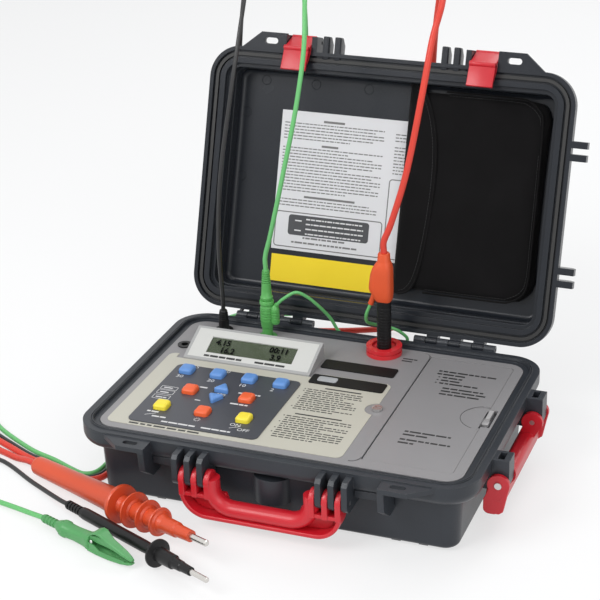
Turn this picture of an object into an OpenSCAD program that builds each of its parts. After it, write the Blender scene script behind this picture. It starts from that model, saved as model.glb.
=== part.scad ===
// High voltage insulation tester in a carrying case with a hinged lid.
// Millimetres; +X is to the right, +Y towards the hinge, +Z up, the table is z = 0.

/* [Case] */
// Width over the rims of the case
case_w = 316; // [308:2:340]
// Depth over the rims of the case
case_d = 223; // [217:1:240]
// Height of the base from the table to the rim plane
base_h = 62.5; // [58:0.5:80]
// Height of the lid above the rim plane when it is shut
lid_h = 34; // [30:0.5:50]
// Corner radius of the rims seen from above
corner_r = 27; // [26:0.5:32]
// Height of the rim flange on each shell
flange_h = 17; // [14:0.5:19]
// Radius of the flange's far edge
flange_r = 9; // [6:0.5:10]
// Distance that the flange stands out from the wall
flange_out = 13.6; // [12.5:0.1:14.2]
// Wall thickness of the moulded shells
wall = 3; // [2.5:0.1:3.4]
// Height of the floor pad that carries the case on the table
foot_h = 2; // [1:0.5:3]
// Angle between the shut lid and the lid as it stands
open_angle = 108.35; // [100:0.05:112]

/* [Hinge] */
// Distance of the hinge axis behind the rims
hinge_back = 4.9; // [4.6:0.1:6]
// Outer radius of the hinge barrels
barrel_r = 3.4; // [2.8:0.1:3.6]
// Radius of the hinge pins
hinge_pin_r = 1.25; // [1:0.05:1.6]
// Distance from the middle of the case to the first knuckle
hinge_x = 44.7; // [40:0.1:50]
// Length of each row of knuckles
hinge_len = 69.3; // [60:0.1:72]

/* [Front ribs, padlock plates and handle] */
// Reach of the ribs and padlock plates beyond the rim
rib_reach = 13.5; // [12.5:0.5:16]
// Thickness of each rib
rib_t = 4.6; // [4:0.1:5]
// Distance between neighbouring ribs
rib_pitch = 10.15; // [9.8:0.05:11]
// Distance of the innermost rib from the middle of the case
rib_x = 46.3; // [44:0.1:50]
// Thickness of the padlock plates
padlock_t = 4; // [3:0.5:6]
// Length of the padlock slot
padlock_slot = 12; // [10:0.5:14]
// Radius of the padlock slot's ends
padlock_r = 2.5; // [2:0.1:3.5]
// Depth of the handle's pivot below the rim plane
pivot_drop = 21; // [20:0.5:24]
// Radius of the handle pins
handle_pin_r = 2; // [1.5:0.1:2.5]
// Radius of the round heads of the handle's fingers
finger_head_r = 8; // [7:0.5:8.5]
// Half length of the front grip
grip_half = 64; // [62:0.5:64]
// Height of the front grip
grip_h = 22; // [18:0.5:24]
// Thickness of the front grip from front to back
grip_t = 14; // [12:0.5:15]

/* [Side handle] */
// Half distance between the outer faces of the side handle's arms
side_half = 62.5; // [60:0.5:70]
// Width of each side bracket
bracket_w = 15; // [12:0.5:18]
// Thickness of each cheek of the arms
cheek_t = 3.5; // [3:0.1:5]
// Distance of the side pivot outside the rim
side_pivot_out = 6; // [5.6:0.1:7]
// Depth of the side pivot below the rim plane
side_pivot_drop = 19.6; // [19:0.1:22]
// Height of the side grip
side_grip_h = 15.5; // [12:0.5:18]
// Thickness of the side grip
side_grip_t = 13; // [11:0.5:14]

/* [Latches] */
// Width of each latch
latch_w = 21.8; // [20:0.1:22]
// Length of a latch from its pivot to its hook
latch_len = 38; // [34:0.5:40]
// Plate thickness of a latch
latch_t = 4; // [3:0.1:4.5]
// Height of the latch pivot above the rim plane
latch_up = 13; // [12:0.5:15]
// Distance of the latch pivot in front of the rim
latch_out = 8; // [7.5:0.1:8.5]
// Radius of the latch pins
latch_pin_r = 1.5; // [1.2:0.1:1.8]
// Angle that a latch leans over the rim
latch_lean = 29.5; // [20:0.5:30]

/* [Instrument panel] */
// Thickness of the panel
panel_t = 3; // [2.5:0.1:3.5]
// Depth of the panel's top below the rim plane
panel_drop = 1.5; // [1.2:0.1:3]
// Thickness of the printed label
label_t = 0.4; // [0.3:0.1:0.6]
// Width of the label
label_w = 191.5; // [185:0.5:192]
// Depth of the label
label_d = 124; // [118:0.5:124]
// Thickness of the plates on the label
plate_t = 0.8; // [0.6:0.1:1.5]
// Width of the bare plate and of the port plate
plate_w = 62; // [50:0.5:63]
// Depth of the bare plate and of the port plate
plate_d = 15.2; // [14:0.2:16]
// Radius of the quarter-turn fastener's head
turn_r = 4; // [3.5:0.1:4.4]
// Radius of the quarter-turn fastener's shank
turn_shank_r = 2.4; // [2:0.1:3]

/* [Keypad] */
// Width of the keypad plate
keypad_w = 106.8; // [104:0.2:110]
// Depth of the keypad plate
keypad_d = 99.4; // [98:0.2:103]
// Width of a key cap
key_w = 11.5; // [10:0.1:13]
// Depth of a key cap
key_d = 12.5; // [11:0.1:13]
// Corner radius of a key cap
key_r = 2.5; // [1.5:0.1:4]
// Height of the key caps above their plate
key_up = 4; // [3:0.1:6]
// Base of the arrow keys
arrow_w = 12; // [10:0.1:13]
// Distance between the four keys of the back row
key_pitch = 27; // [20:0.1:28]
// Travel of the keys
key_travel = 1.5; // [1:0.1:2]

/* [Display] */
// Width of the display housing
display_w = 110; // [105:0.5:112]
// Length of the display housing up its slope
display_len = 36.7; // [34:0.1:38]
// Angle of the display's slope
display_tilt = 20.8; // [15:0.1:25]
// Width of the frame round the display's face
display_frame = 2.5; // [2:0.1:4]
// Width of the display window
window_w = 75; // [60:0.5:80]
// Depth of the display window up the slope
window_d = 17.8; // [15:0.1:19]

/* [Sockets and plugs] */
// Bore radius of the guard and earth sockets
jack_r = 4.6; // [4.2:0.05:5]
// Radius of the collar round the line socket
collar_r = 14.7; // [13:0.1:15]
// Height of the collar above the panel
collar_h = 7.5; // [5:0.5:10]
// Radius of the line plug's shaft
line_r = 6; // [5:0.1:7]
// Running clearance round a plug in its socket
plug_gap = 0.1; // [0.05:0.01:0.3]

/* [Accessory compartment] */
// Width of the compartment's cover
cover_w = 69.3; // [66:0.1:72]
// Thickness of the cover
cover_t = 2.4; // [2:0.1:2.4]
// Depth of the tray below the panel
tray_h = 32; // [25:1:40]
// Wall of the tray
tray_wall = 1.6; // [1.2:0.1:2.5]
// Radius of the finger scoop in the cover
scoop_r = 18.7; // [17:0.1:20]

/* [Test leads] */
// Diameter of the guard lead
black_d = 3.6; // [3:0.1:3.8]
// Diameter of the earth lead
green_d = 4; // [3:0.1:4.2]
// Diameter of the line lead
red_d = 5.4; // [5:0.1:5.6]
// Diameter of the link cord between the two plugs
link_d = 2.8; // [2.4:0.1:3]

/* [Hidden] */
$fn = 64;

// Clearances
part_gap = 0.3;      // between pieces of different bodies
rim_gap = 0.4;       // between the shut lid and the base
pin_fit = 0.05;      // running fit on every pin
seat_fit = 0.02;     // pins in the walls that hold them
key_gap = 0.4;       // round each key in its opening

// Case, derived
hx = case_w / 2;
hy = case_d / 2;
panel_inset = flange_out - part_gap;
ledge_z = base_h - panel_drop - panel_t;
panel_z = base_h - panel_drop;
label_z = panel_z + label_t;
plate_z = label_z + plate_t;
floor_t = foot_h + wall;
wall_draft = 1.9;
foot_edge_r = 4;
band_in = 8.2;
band_drop = panel_drop + 0.5;
axis_y = hy + hinge_back;
lid_floor = lid_h - wall - 1;
lid_edge_r = 5.5;
lid_draft = 1.5;
lid_wall_in = flange_out + 0.9;
groove_in = 3.4;
groove_w = 6;
groove_h = 3;

// Panel edges and the places measured from them
panel_hx = hx - panel_inset;
panel_hy = hy - panel_inset;
left = -panel_hx;
right = panel_hx;
front = -panel_hy;
back = panel_hy;
label_x = left + 5.7;
label_y = front + 7.2;
keypad_x = left + 21.1;
keypad_y = front + 12.9;
display_x = left + 19.4;
display_y = front + 124.6;
jack_y = back - 11.7;
guard_x = left + 30.5;
earth_x = left + 70.2;
line_x = left + 172.7;
plate_x = left + 131.9;
blank_y = back - 53.7;
port_y = front + 114.2;
turn_x = left + 198.5;
turn_y = front + 88.1;
socket_x = left + 10.7;
socket_y = back - 48.8;
cover_x1 = right - 8.7;
cover_x0 = cover_x1 - cover_w;
cover_y0 = front + 12.2;
cover_y1 = back - 7.2;
scoop_y = (cover_y0 + cover_y1) / 2 + 0.5;
notch_half = 14.4;      // notch for the catch, along the edge

// Ribs of the front side, measured from the middle of the case
ribs = [for (i = [0:2]) rib_x + i * rib_pitch];
bay_x0 = rib_x + 2 * rib_pitch + rib_t / 2;
bay_x1 = bay_x0 + latch_w + 2 * part_gap;
bay_wall = 5;
latch_x = (bay_x0 + bay_x1) / 2;
fingers = [for (i = [0:2]) rib_x + (i - 0.5) * rib_pitch];
reach_y = -hy - rib_reach;
pivot_y = reach_y + 7;
pivot_z = base_h - pivot_drop;
side_pivot_x = hx + side_pivot_out;
side_pivot_z = base_h - side_pivot_drop;
padlock_x = bay_x1 + 13.7;
latch_y = -hy - latch_out;

// Pieces inside the base
board_z = base_h - 18;
board_t = 1.6;
board_x0 = left + 12;
board_x1 = cover_x0 - 8;
board_y0 = front + 26;
board_y1 = back - 34;
board_posts_x = [board_x0 + 6, board_x1 - 6];
board_posts_y = [board_y0 + 6, board_y1 - 6];
battery_x = 10;
battery_r = 9;
battery_y0 = front + 30;
battery_y1 = battery_y0 + 52;

// Rectangle with round corners, centred
module rrect(w, d, r) {
  square([w - 2 * r, d], center = true);
  square([w, d - 2 * r], center = true);
  for (x = [-1, 1], y = [-1, 1])
    translate([x * (w / 2 - r), y * (d / 2 - r)]) circle(r);
}

// Extrude a (y, z) outline from x0 to x1
module xslab(x0, x1) {
  translate([x0, 0, 0]) rotate([90, 0, 90]) linear_extrude(x1 - x0) children();
}

// Extrude an (x, z) outline from y0 to y1
module yslab(y0, y1) {
  translate([0, y1, 0]) rotate([90, 0, 0]) linear_extrude(y1 - y0) children();
}

// Extrude an (x, y) outline from z0 to z1
module zslab(z0, z1) {
  translate([0, 0, z0]) linear_extrude(z1 - z0) children();
}

// Block between two corners
module block(a, b) {
  translate(a) cube(b - a);
}

// Cylinder along X between x0 and x1
module xrod(x0, x1, y, z, r) {
  translate([x0, y, z]) rotate([0, 90, 0]) cylinder(h = x1 - x0, r = r);
}

// Cylinder along Y between y0 and y1
module yrod(y0, y1, x, z, r) {
  translate([x, y1, z]) rotate([90, 0, 0]) cylinder(h = y1 - y0, r = r);
}

// Carry an outline of (inset from the rim, height) round the case
module around(w, d, r) {
  for (k = [0:3])
    rotate([0, 0, 90 * k])
      let (a = k % 2 == 0 ? w : d, b = k % 2 == 0 ? d : w) {
        translate([a / 2 - r, b / 2 - r, 0]) rotate_extrude(angle = 90) children();
        translate([a / 2 - r, b / 2 - r, 0]) rotate([90, 0, 0]) linear_extrude(b - 2 * r) children();
      }
}

// Turn an outline's inset into the distance from the corner's centre
module from_corner(r) {
  translate([r, 0]) mirror([1, 0]) children();
}

// Both mirror images across the middle of the case
module both_x() {
  children();
  mirror([1, 0, 0]) children();
}

// From the shut lid's place to the open one
module open_lid() {
  translate([0, axis_y, base_h]) rotate([-open_angle, 0, 0]) translate([0, -axis_y, 0]) children();
}

// Outline of the base's wall and rim
module base_outline() {
  flange_z = base_h - flange_h;
  difference() {
    union() {
      translate([0, flange_z + flange_r]) square([flange_r, flange_h - flange_r]);
      translate([flange_r, flange_z]) square([flange_out + wall - flange_r, ledge_z - flange_z]);
      translate([flange_r, ledge_z - 1]) square([panel_inset - part_gap - flange_r, base_h - ledge_z + 1]);
      intersection() {
        translate([flange_r, flange_z + flange_r]) circle(flange_r);
        translate([0, flange_z]) square([flange_r + 1, flange_r + 1]);
      }
      for (i = [5.6, 7]) translate([i, base_h - 1]) square([0.8, 1.8]);
      polygon([[flange_out, flange_z + 1], [flange_out + wall_draft, foot_h + foot_edge_r],
        [flange_out + wall_draft + wall, foot_h + foot_edge_r], [flange_out + wall, flange_z + 1]]);
      translate([flange_out + wall_draft + foot_edge_r, foot_h + foot_edge_r]) circle(foot_edge_r);
      translate([flange_out + wall_draft + foot_edge_r, foot_h]) square([4, wall]);
    }
    translate([band_in, base_h - band_drop]) square([flange_r + 5, band_drop + 1]);
    translate([flange_out + wall_draft + wall, floor_t]) square([12, foot_edge_r + 4]);
    translate([flange_out + wall, ledge_z]) square([12, 10]);
  }
}

// Rib on the front side with a round head at the handle's pivot
module front_rib(x) {
  xslab(x - rib_t / 2, x + rib_t / 2) difference() {
    union() {
      polygon([[-hy + flange_out + 1, pivot_z - 7], [pivot_y, pivot_z - 7], [reach_y, pivot_z],
        [reach_y, base_h - 5], [reach_y + 3, base_h - 2], [-hy + 4, base_h - 2]]);
      translate([pivot_y, pivot_z]) circle(7);
    }
    translate([pivot_y, pivot_z]) circle(handle_pin_r + seat_fit);
  }
}

// Padlock plate beside a latch bay, seen from above
module padlock_outline() {
  difference() {
    polygon([[bay_x1 + 0.2, -hy + 2], [bay_x1 + 0.2, reach_y], [padlock_x + 9, reach_y],
      [padlock_x + 25.3, -hy], [padlock_x + 25.3, -hy + 2]]);
    for (s = [-1, 1])
      translate([padlock_x + s * (padlock_slot / 2 - padlock_r), -hy - 6.5]) circle(padlock_r);
    translate([padlock_x - padlock_slot / 2 + padlock_r, -hy - 6.5 - padlock_r])
      square([padlock_slot - 2 * padlock_r, 2 * padlock_r]);
  }
}

// Knuckles with an index of the given parity; up = -1 hangs them on the base
module knuckles(parity, up, z0) {
  n = 7;
  pitch = (hinge_len + 0.5) / n;
  for (i = [parity:2:n - 1])
    let (x0 = hinge_x + i * pitch, x1 = x0 + pitch - 0.5)
      difference() {
        union() {
          xrod(x0, x1, axis_y, 0, barrel_r);
          xslab(x0, x1) polygon([[hy - 1, up * 12.5], [hy - 1, up * z0], [axis_y, 0],
            [axis_y + barrel_r * cos(30), up * barrel_r * sin(30)]]);
        }
        xrod(x0 - 1, x1 + 1, axis_y, 0, hinge_pin_r + (up < 0 ? seat_fit : pin_fit));
      }
}

// Bracket that carries one arm of the side handle
module side_bracket(y0) {
  difference() {
    union() {
      yslab(y0, y0 + bracket_w) {
        polygon([[hx - flange_out - 1, side_pivot_z - 5.4], [side_pivot_x, side_pivot_z - 7],
          [side_pivot_x + 7, side_pivot_z], [side_pivot_x + 7, base_h - 0.5], [hx - 2, base_h - 0.5]]);
        translate([side_pivot_x, side_pivot_z]) circle(7);
      }
    }
    yrod(y0 - 1, y0 + bracket_w + 1, side_pivot_x, side_pivot_z, handle_pin_r + seat_fit);
    block([side_pivot_x - 2.5, y0 + 2.5, base_h - 7], [side_pivot_x + 2.5, y0 + bracket_w - 2.5, base_h]);
  }
}

module base_shell() color("khaki") {
  difference() {
    union() {
      around(case_w, case_d, corner_r) from_corner(corner_r) base_outline();
      slab_in = flange_out + wall_draft + foot_edge_r + 3;
      zslab(foot_h, floor_t) rrect(case_w - 2 * slab_in, case_d - 2 * slab_in, corner_r - slab_in);
      zslab(0, foot_h + 1) rrect(case_w - 2 * slab_in - 12, case_d - 2 * slab_in - 12, 6);
      for (x = [-116, -95, 95, 116])
        block([x - 3.5, -hy + slab_in - 2, 0], [x + 3.5, hy - slab_in + 2, foot_h + 1]);
      both_x() {
        for (x = ribs) front_rib(x);
        difference() {
          union() {
            xslab(bay_x1, bay_x1 + bay_wall) polygon([[-hy + flange_out + 1, base_h - 31],
              [-hy + 2, base_h - 31], [reach_y + 2, base_h - 21], [reach_y, base_h - 5],
              [reach_y + 1, base_h - 1], [-hy + 2, base_h - 1]]);
            zslab(base_h - 1 - padlock_t, base_h - 1) padlock_outline();
          }
        }
        xslab(bay_x0 + 0.5, bay_x1 - 0.5) polygon([[-hy + 8, base_h - flange_h + 1],
          [-hy + 1.5, base_h - flange_h + 3], [-hy + 1.5, base_h - flange_h - 3],
          [-hy + 4.5, base_h - flange_h - 3], [-hy + 5.5, base_h - flange_h]]);
        translate([0, 0, base_h]) knuckles(0, -1, 0.5);
      }
      for (y0 = [-side_half + cheek_t + 0.5, side_half - cheek_t - 0.5 - bracket_w]) side_bracket(y0);
      translate([0, -hy + 19.5, base_h - 42]) cylinder(h = 21, r = 15.5);
      for (x = board_posts_x, y = board_posts_y) translate([x, y, floor_t - 1]) cylinder(h = board_z - floor_t + 1, r = 3.5);
      block([battery_x - 2, battery_y0, floor_t - 1], [battery_x, battery_y1, floor_t + 8]);
    }
    // the boss and the ribs stop at the inside of the wall
    translate([-hx + 24, -hy + flange_out + wall_draft + wall, floor_t]) cube([case_w - 48, 18, base_h]);
  }
}

// Outlines of the keys
module cap_outline(g = 0) {
  rrect(key_w + 2 * g, key_d + 2 * g, key_r + g);
}

// Arrow key, pointing away from the front; cut is the size of its blunt corners
module arrow_outline(g = 0) {
  b = arrow_w + 4 * g;
  h = arrow_w * 0.92 + 3 * g;
  cut = 1.6;
  polygon([[-b / 2 + cut / 2, -h / 2], [b / 2 - cut / 2, -h / 2], [b / 2 - cut / 4, -h / 2 + cut],
    [cut / 2, h / 2], [-cut / 2, h / 2], [-b / 2 + cut / 4, -h / 2 + cut]]);
}

// Key places: name, x and y from the keypad's front left corner, kind
pad_cx = keypad_w / 2 - 1.2;
keys = [
  ["key_blue_1", pad_cx - 1.5 * key_pitch, 89.5, 0], ["key_blue_2", pad_cx - 0.5 * key_pitch, 89.5, 0],
  ["key_blue_3", pad_cx + 0.5 * key_pitch, 89.5, 0], ["key_blue_4", pad_cx + 1.5 * key_pitch, 89.5, 0],
  ["key_orange_left", pad_cx - 24, 57.9, 0], ["key_orange_right", pad_cx + 24, 57.9, 0],
  ["key_orange_front", pad_cx, 27, 0], ["key_yellow_left", pad_cx - 34.4, 26.8, 0],
  ["key_yellow_right", pad_cx + 34.4, 26.8, 0], ["key_up", pad_cx, 67.6, 1], ["key_down", pad_cx, 49.7, -1]];

module key_outline(k, g = 0) {
  translate([keypad_x + k[1], keypad_y + k[2]])
    if (k[3] == 0) cap_outline(g);
    else mirror([0, k[3] < 0 ? 1 : 0]) arrow_outline(g);
}

// Side view of a cap with round upper edges
module dome_outline(w, h, e) {
  translate([-w / 2, 0]) square([w, h - e]);
  translate([-w / 2 + e, 0]) square([w - 2 * e, h]);
  for (s = [-1, 1]) translate([s * (w / 2 - e), h - e]) circle(e);
}

// One key: a cap over the plate, a stem and a flange that the panel keeps in
module key(i) {
  k = keys[i];
  top = plate_z + key_up;
  low = ledge_z - part_gap;
  edge = 0.9;
  w = k[3] == 0 ? key_w : arrow_w;
  d = k[3] == 0 ? key_d : arrow_w * 0.92;
  intersection() {
    zslab(low, top) key_outline(k);
    translate([keypad_x + k[1], keypad_y + k[2], low]) intersection() {
      xslab(-w, w) dome_outline(d, top - low, edge);
      yslab(-d, d) dome_outline(w, top - low, edge);
    }
  }
  translate([keypad_x + k[1], keypad_y + k[2]]) {
    zslab(low - 1.5, low) rrect(w + 4, d + 4, key_r + 1);
    zslab(low - 5, low - 1.5) circle(3);
  }
}

module instrument_panel() color("dimgray") {
  difference() {
    zslab(ledge_z, panel_z) rrect(2 * panel_hx, 2 * panel_hy, corner_r - panel_inset);
    zslab(ledge_z - 1, panel_z + 1) {
      for (k = keys) key_outline(k, key_gap);
      translate([display_x + 6, display_y + 4]) square([display_w - 12, display_len * cos(display_tilt) - 8]);
      for (x = [guard_x, earth_x]) translate([x, jack_y]) circle(jack_r + 2);
      translate([line_x, jack_y]) circle(line_r + 1.8);
      translate([socket_x, socket_y]) circle(4.6);
      translate([turn_x, turn_y]) circle(turn_shank_r + part_gap);
      translate([plate_x + 10, port_y + 4]) square([12, 7]);
      translate([(cover_x0 + cover_x1) / 2, (cover_y0 + cover_y1) / 2])
        rrect(cover_w + 2 * part_gap, cover_y1 - cover_y0 + 2 * part_gap, 3);
      // square corners beside the hinge, where the cover's edge turns
      translate([cover_x0 - cover_turn_gap, cover_y0 - part_gap])
        square([cover_t + 2, cover_y1 - cover_y0 + 2 * part_gap]);
      translate([cover_x1 - 4, scoop_y - notch_half]) square([10.9, 2 * notch_half]);
    }
    yrod(cover_y0 - 5, cover_y1 + 5, cover_x0 + cover_t / 2, cover_z + cover_t / 2, cover_pin_r + pin_fit);
    // engraved corners that carry the hinge line on to the left
    for (s = [-1, 1])
      translate([cover_x0 - 8.5, s > 0 ? cover_y1 - 2.5 : cover_y0 + 2.5, panel_z - 1]) intersection() {
        difference() {
          cylinder(h = 2, r = 8.5);
          translate([0, 0, -1]) cylinder(h = 4, r = s > 0 ? 7.7 : 7.2);
        }
        translate([0, s > 0 ? 0 : -12, 0]) cube([12, 12, 2]);
      }
  }
}

// Accessory cover: its axis lies in the rounded left edge
cover_z = ledge_z + part_gap;
cover_pin_r = 0.8;
cover_turn_gap = 0.6;
latch_half = 5;

module accessory_cover() color("slategray") {
  ax = cover_x0 + cover_t / 2;
  az = cover_z + cover_t / 2;
  difference() {
    union() {
      intersection() {
        zslab(cover_z, cover_z + cover_t) translate([(cover_x0 + cover_x1) / 2, (cover_y0 + cover_y1) / 2])
          rrect(cover_w, cover_y1 - cover_y0, 3);
        union() {
          block([ax, cover_y0, cover_z], [cover_x1, cover_y1, cover_z + cover_t]);
          yrod(cover_y0, cover_y1, ax, az, cover_t / 2);
        }
      }
      yrod(cover_y0 - 3, cover_y1 + 3, ax, az, cover_pin_r);
    }
    // finger dent that slopes down to the catch
    translate([cover_x1, scoop_y, cover_z + cover_t]) intersection() {
      translate([0, 0, -cover_t]) cylinder(h = 2 * cover_t, r = scoop_r);
      translate([0, 0, -1.5]) rotate([0, 4, 0]) translate([-30, -30, 0]) cube([60, 60, 6]);
    }
    block([cover_x1 - 1.7, scoop_y - notch_half, cover_z - 1], [cover_x1 + 1, scoop_y + notch_half, cover_z + cover_t + 1]);
  }
  for (s = [-1, 1])
    translate([cover_x1 - scoop_r - 16, scoop_y, 0]) yslab(s * 7 - 1.5, s * 7 + 1.5)
      polygon([[0, cover_z + 0.2], [0, cover_z - 4.5], [14, cover_z - 4.5], [14, cover_z + 0.2]]);
  for (s = [-1, 1])
    block([cover_x1 - scoop_r - 16, scoop_y + (s > 0 ? 3.5 : -7), cover_z - 4.5],
      [cover_x1 - scoop_r - 2, scoop_y + (s > 0 ? 7 : -3.5), cover_z - 3.3]);
}

// Sliding catch beside the dent, guided under the cover
module cover_latch() color("silver") {
  z1 = cover_z - part_gap;
  block([cover_x1 - scoop_r - 10, scoop_y - latch_half, z1 - 2.4], [cover_x1 + 3.6, scoop_y + latch_half, z1]);
  block([cover_x1 + 0.1, scoop_y + 0.3, z1 - 2.4], [cover_x1 + 3.6, scoop_y + notch_half - 0.3, cover_z + cover_t - 0.1]);
}

module accessory_tray() color("darkslategray") {
  x0 = cover_x0 + 2;
  x1 = cover_x1 - 2;
  y0 = cover_y0 + 2;
  y1 = cover_y1 - 2;
  z0 = ledge_z - tray_h;
  cx = (x0 + x1) / 2;
  cy = (y0 + y1) / 2;
  difference() {
    union() {
      translate([cx, cy, z0]) linear_extrude(tray_h) rrect(x1 - x0 + 2 * tray_wall, y1 - y0 + 2 * tray_wall, 6);
      translate([cx, cy, ledge_z - 2]) linear_extrude(2) rrect(x1 - x0 + 11, y1 - y0 + 11, 6);
      block([x1, scoop_y - notch_half - 1.6, ledge_z - 8], [x1 + 6.9, scoop_y + notch_half + 1.6, ledge_z]);
    }
    translate([cx, cy, z0 + tray_wall]) linear_extrude(tray_h) rrect(x1 - x0, y1 - y0, 6 - tray_wall);
    block([x1 - 4, scoop_y - notch_half - 0.5, ledge_z - 6.5], [x1 + 5.9, scoop_y + notch_half + 0.5, ledge_z + 1]);
  }
}

module panel_label() color("ivory") {
  difference() {
    zslab(panel_z, label_z) difference() {
      translate([label_x + label_w / 2, label_y + label_d / 2]) rrect(label_w, label_d, 6);
      for (k = keys) key_outline(k, key_gap);
      translate([display_x - 6, display_y - 0.5]) square([display_w + 12, 60]);
      translate([turn_x, turn_y]) circle(turn_r + 5.7);
      translate([plate_x + 10, port_y + 4]) square([12, 7]);
    }
  }
}

module keypad_plate() color("royalblue") {
  zslab(label_z, plate_z) difference() {
    translate([keypad_x + keypad_w / 2, keypad_y + keypad_d / 2]) rrect(keypad_w, keypad_d, 5);
    for (k = keys) key_outline(k, key_gap);
  }
}

// The display's sloping frame of reference: x from its left edge, y up the slope
module on_display() {
  translate([display_x, display_y, panel_z + 1.5]) rotate([display_tilt, 0, 0]) children();
}

window_x = display_x + 16.7;
window_y = 8.6;
face_t = 1.2;

module display_housing() color("gray") {
  difference() {
    xslab(display_x, display_x + display_w) polygon([[display_y, panel_z], [display_y, panel_z + 1.5],
      [display_y + display_len * cos(display_tilt), panel_z + 1.5 + display_len * sin(display_tilt)],
      [display_y + display_len * cos(display_tilt), panel_z]]);
    on_display() block([display_frame, display_frame, -face_t],
      [display_w - display_frame, display_len - display_frame, 5]);
    on_display() block([display_frame + 3, display_frame + 3, -40],
      [display_w - display_frame - 3, display_len - display_frame - 3, 0]);
  }
}

module display_face() color("white") {
  on_display() difference() {
    block([display_frame, display_frame, -face_t], [display_w - display_frame, display_len - display_frame, 0]);
    block([window_x - display_x, window_y, -3], [window_x - display_x + window_w, window_y + window_d, 1]);
  }
}

module lcd_window() color("powderblue") {
  on_display() block([window_x - display_x, window_y, -face_t],
    [window_x - display_x + window_w, window_y + window_d, -0.3]);
}

module lcd_module() color("olive") {
  on_display() block([window_x - display_x - 5, window_y - 2.5, -face_t - 5.5],
    [window_x - display_x + window_w + 5, window_y + window_d + 3.5, -face_t]);
}

module main_board() color("green") {
  zslab(board_z, board_z + board_t) difference() {
    translate([board_x0, board_y0]) square([board_x1 - board_x0, board_y1 - board_y0]);
    for (x = board_posts_x, y = board_posts_y) translate([x, y]) circle(1.5);
  }
}

module hv_module() color("black") {
  block([board_x0 + 15, board_y1 - 62, floor_t], [board_x0 + 100, board_y1 - 14, board_z - 3]);
}

module battery_pack() color("seagreen") {
  for (i = [0:1], j = [0:1])
    translate([battery_x + battery_r + 0.3 + i * 2 * (battery_r - 0.2), battery_y0, floor_t + battery_r + j * 2 * (battery_r - 0.2)])
      rotate([-90, 0, 0]) cylinder(h = battery_y1 - battery_y0, r = battery_r);
}

module blank_plate() color("black") {
  zslab(panel_z, panel_z + plate_t) translate([plate_x + plate_w / 2, blank_y + plate_d / 2]) rrect(plate_w, plate_d, 2);
}

module port_plate() color("black") {
  zslab(label_z, plate_z) difference() {
    translate([plate_x + plate_w / 2, port_y + plate_d / 2]) rrect(plate_w, plate_d, 2);
    translate([plate_x + 14, port_y + 8]) rrect(16, 8, 2);
  }
}

module optical_port() color("silver") {
  zslab(label_z, plate_z + 0.4) translate([plate_x + 14, port_y + 8]) rrect(16, 8, 2);
  zslab(ledge_z, label_z) translate([plate_x + 10.5, port_y + 4.5]) square([11, 6]);
}

module charger_socket() color("black") {
  translate([socket_x, socket_y, 0]) {
    difference() {
      union() {
        translate([0, 0, panel_z]) cylinder(h = 1, r = 6);
        translate([0, 0, panel_z - 12]) cylinder(h = 12.5, r = 4.5);
      }
      translate([0, 0, panel_z - 9]) cylinder(h = 12, r = 2.9);
    }
    translate([0, 0, panel_z - 10]) cylinder(h = 8.5, r = 1);
  }
}

// Socket of the guard and earth leads: a sleeve round a contact pin
module jack(x, c) color(c) {
  translate([x, jack_y, 0]) {
    difference() {
      union() {
        translate([0, 0, panel_z]) cylinder(h = 0.8, r = jack_r + 3.2);
        translate([0, 0, panel_z - 18]) cylinder(h = 18.5, r = jack_r + 2);
      }
      translate([0, 0, panel_z - 15]) cylinder(h = 18, r = jack_r);
    }
    translate([0, 0, panel_z - 16]) cylinder(h = 11, r = 1.5);
  }
}

module jack_line() color("red") {
  translate([line_x, jack_y, 0]) {
    difference() {
      union() {
        translate([0, 0, panel_z]) cylinder(h = collar_h, r = collar_r);
        translate([0, 0, panel_z - 18]) cylinder(h = 18.5, r = line_r + 1.8);
      }
      translate([0, 0, panel_z - 15]) cylinder(h = 30, r = line_r + plug_gap);
      translate([0, 0, panel_z + collar_h - 2]) cylinder(h = 3, r = line_r + 4);
      translate([0, 0, panel_z + collar_h / 2 - 0.5]) difference() {
        cylinder(h = 1, r = collar_r + 1);
        translate([0, 0, -1]) cylinder(h = 3, r = collar_r - 0.9);
      }
    }
    translate([0, 0, panel_z - 16]) cylinder(h = 11, r = 1.5);
  }
}

// Body of a small plug that fills its socket, with a bore for the contact pin
module plug_body(z1) {
  difference() {
    translate([0, 0, panel_z - 12]) cylinder(h = z1 - panel_z + 12, r = jack_r - plug_gap);
    translate([0, 0, panel_z - 13]) cylinder(h = 10, r = 1.6);
  }
}

black_top = panel_z + 19;
green_low = panel_z + 9.5;
adapter_top = panel_z + 33.5;
green_top = panel_z + 61;
boot_low = panel_z + 47.6;
boot_top = panel_z + 89;
branch_len = 13;
stub_len = 16;
stub_turn = 20;

module plug_black() color("black") {
  translate([guard_x, jack_y, 0]) difference() {
    plug_body(black_top);
    for (i = [0:3]) translate([0, 0, black_top - 4 - 2.4 * i]) rotate_extrude() translate([jack_r - plug_gap - 0.5, 0]) square([2, 1]);
  }
}

module adapter_green() color("seagreen") {
  translate([earth_x, jack_y, 0]) {
    plug_body(green_low);
    translate([0, 0, green_low]) cylinder(h = adapter_top - green_low, r = 5.3);
    translate([0, 0, adapter_top - 3]) cylinder(h = 3, r = 6.2);
    translate([0, 0, green_low + 12]) rotate([0, 45, 0]) cylinder(h = branch_len, r = 3);
  }
}

module plug_green() color("green") {
  translate([earth_x, jack_y, adapter_top]) difference() {
    union() {
      cylinder(h = green_top - adapter_top, r = 4.5);
      cylinder(h = 5, r = 5.4);
    }
    for (i = [0:4]) translate([0, 0, 8 + 2.6 * i]) rotate_extrude() translate([4, 0]) square([2, 1.1]);
  }
}

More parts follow.
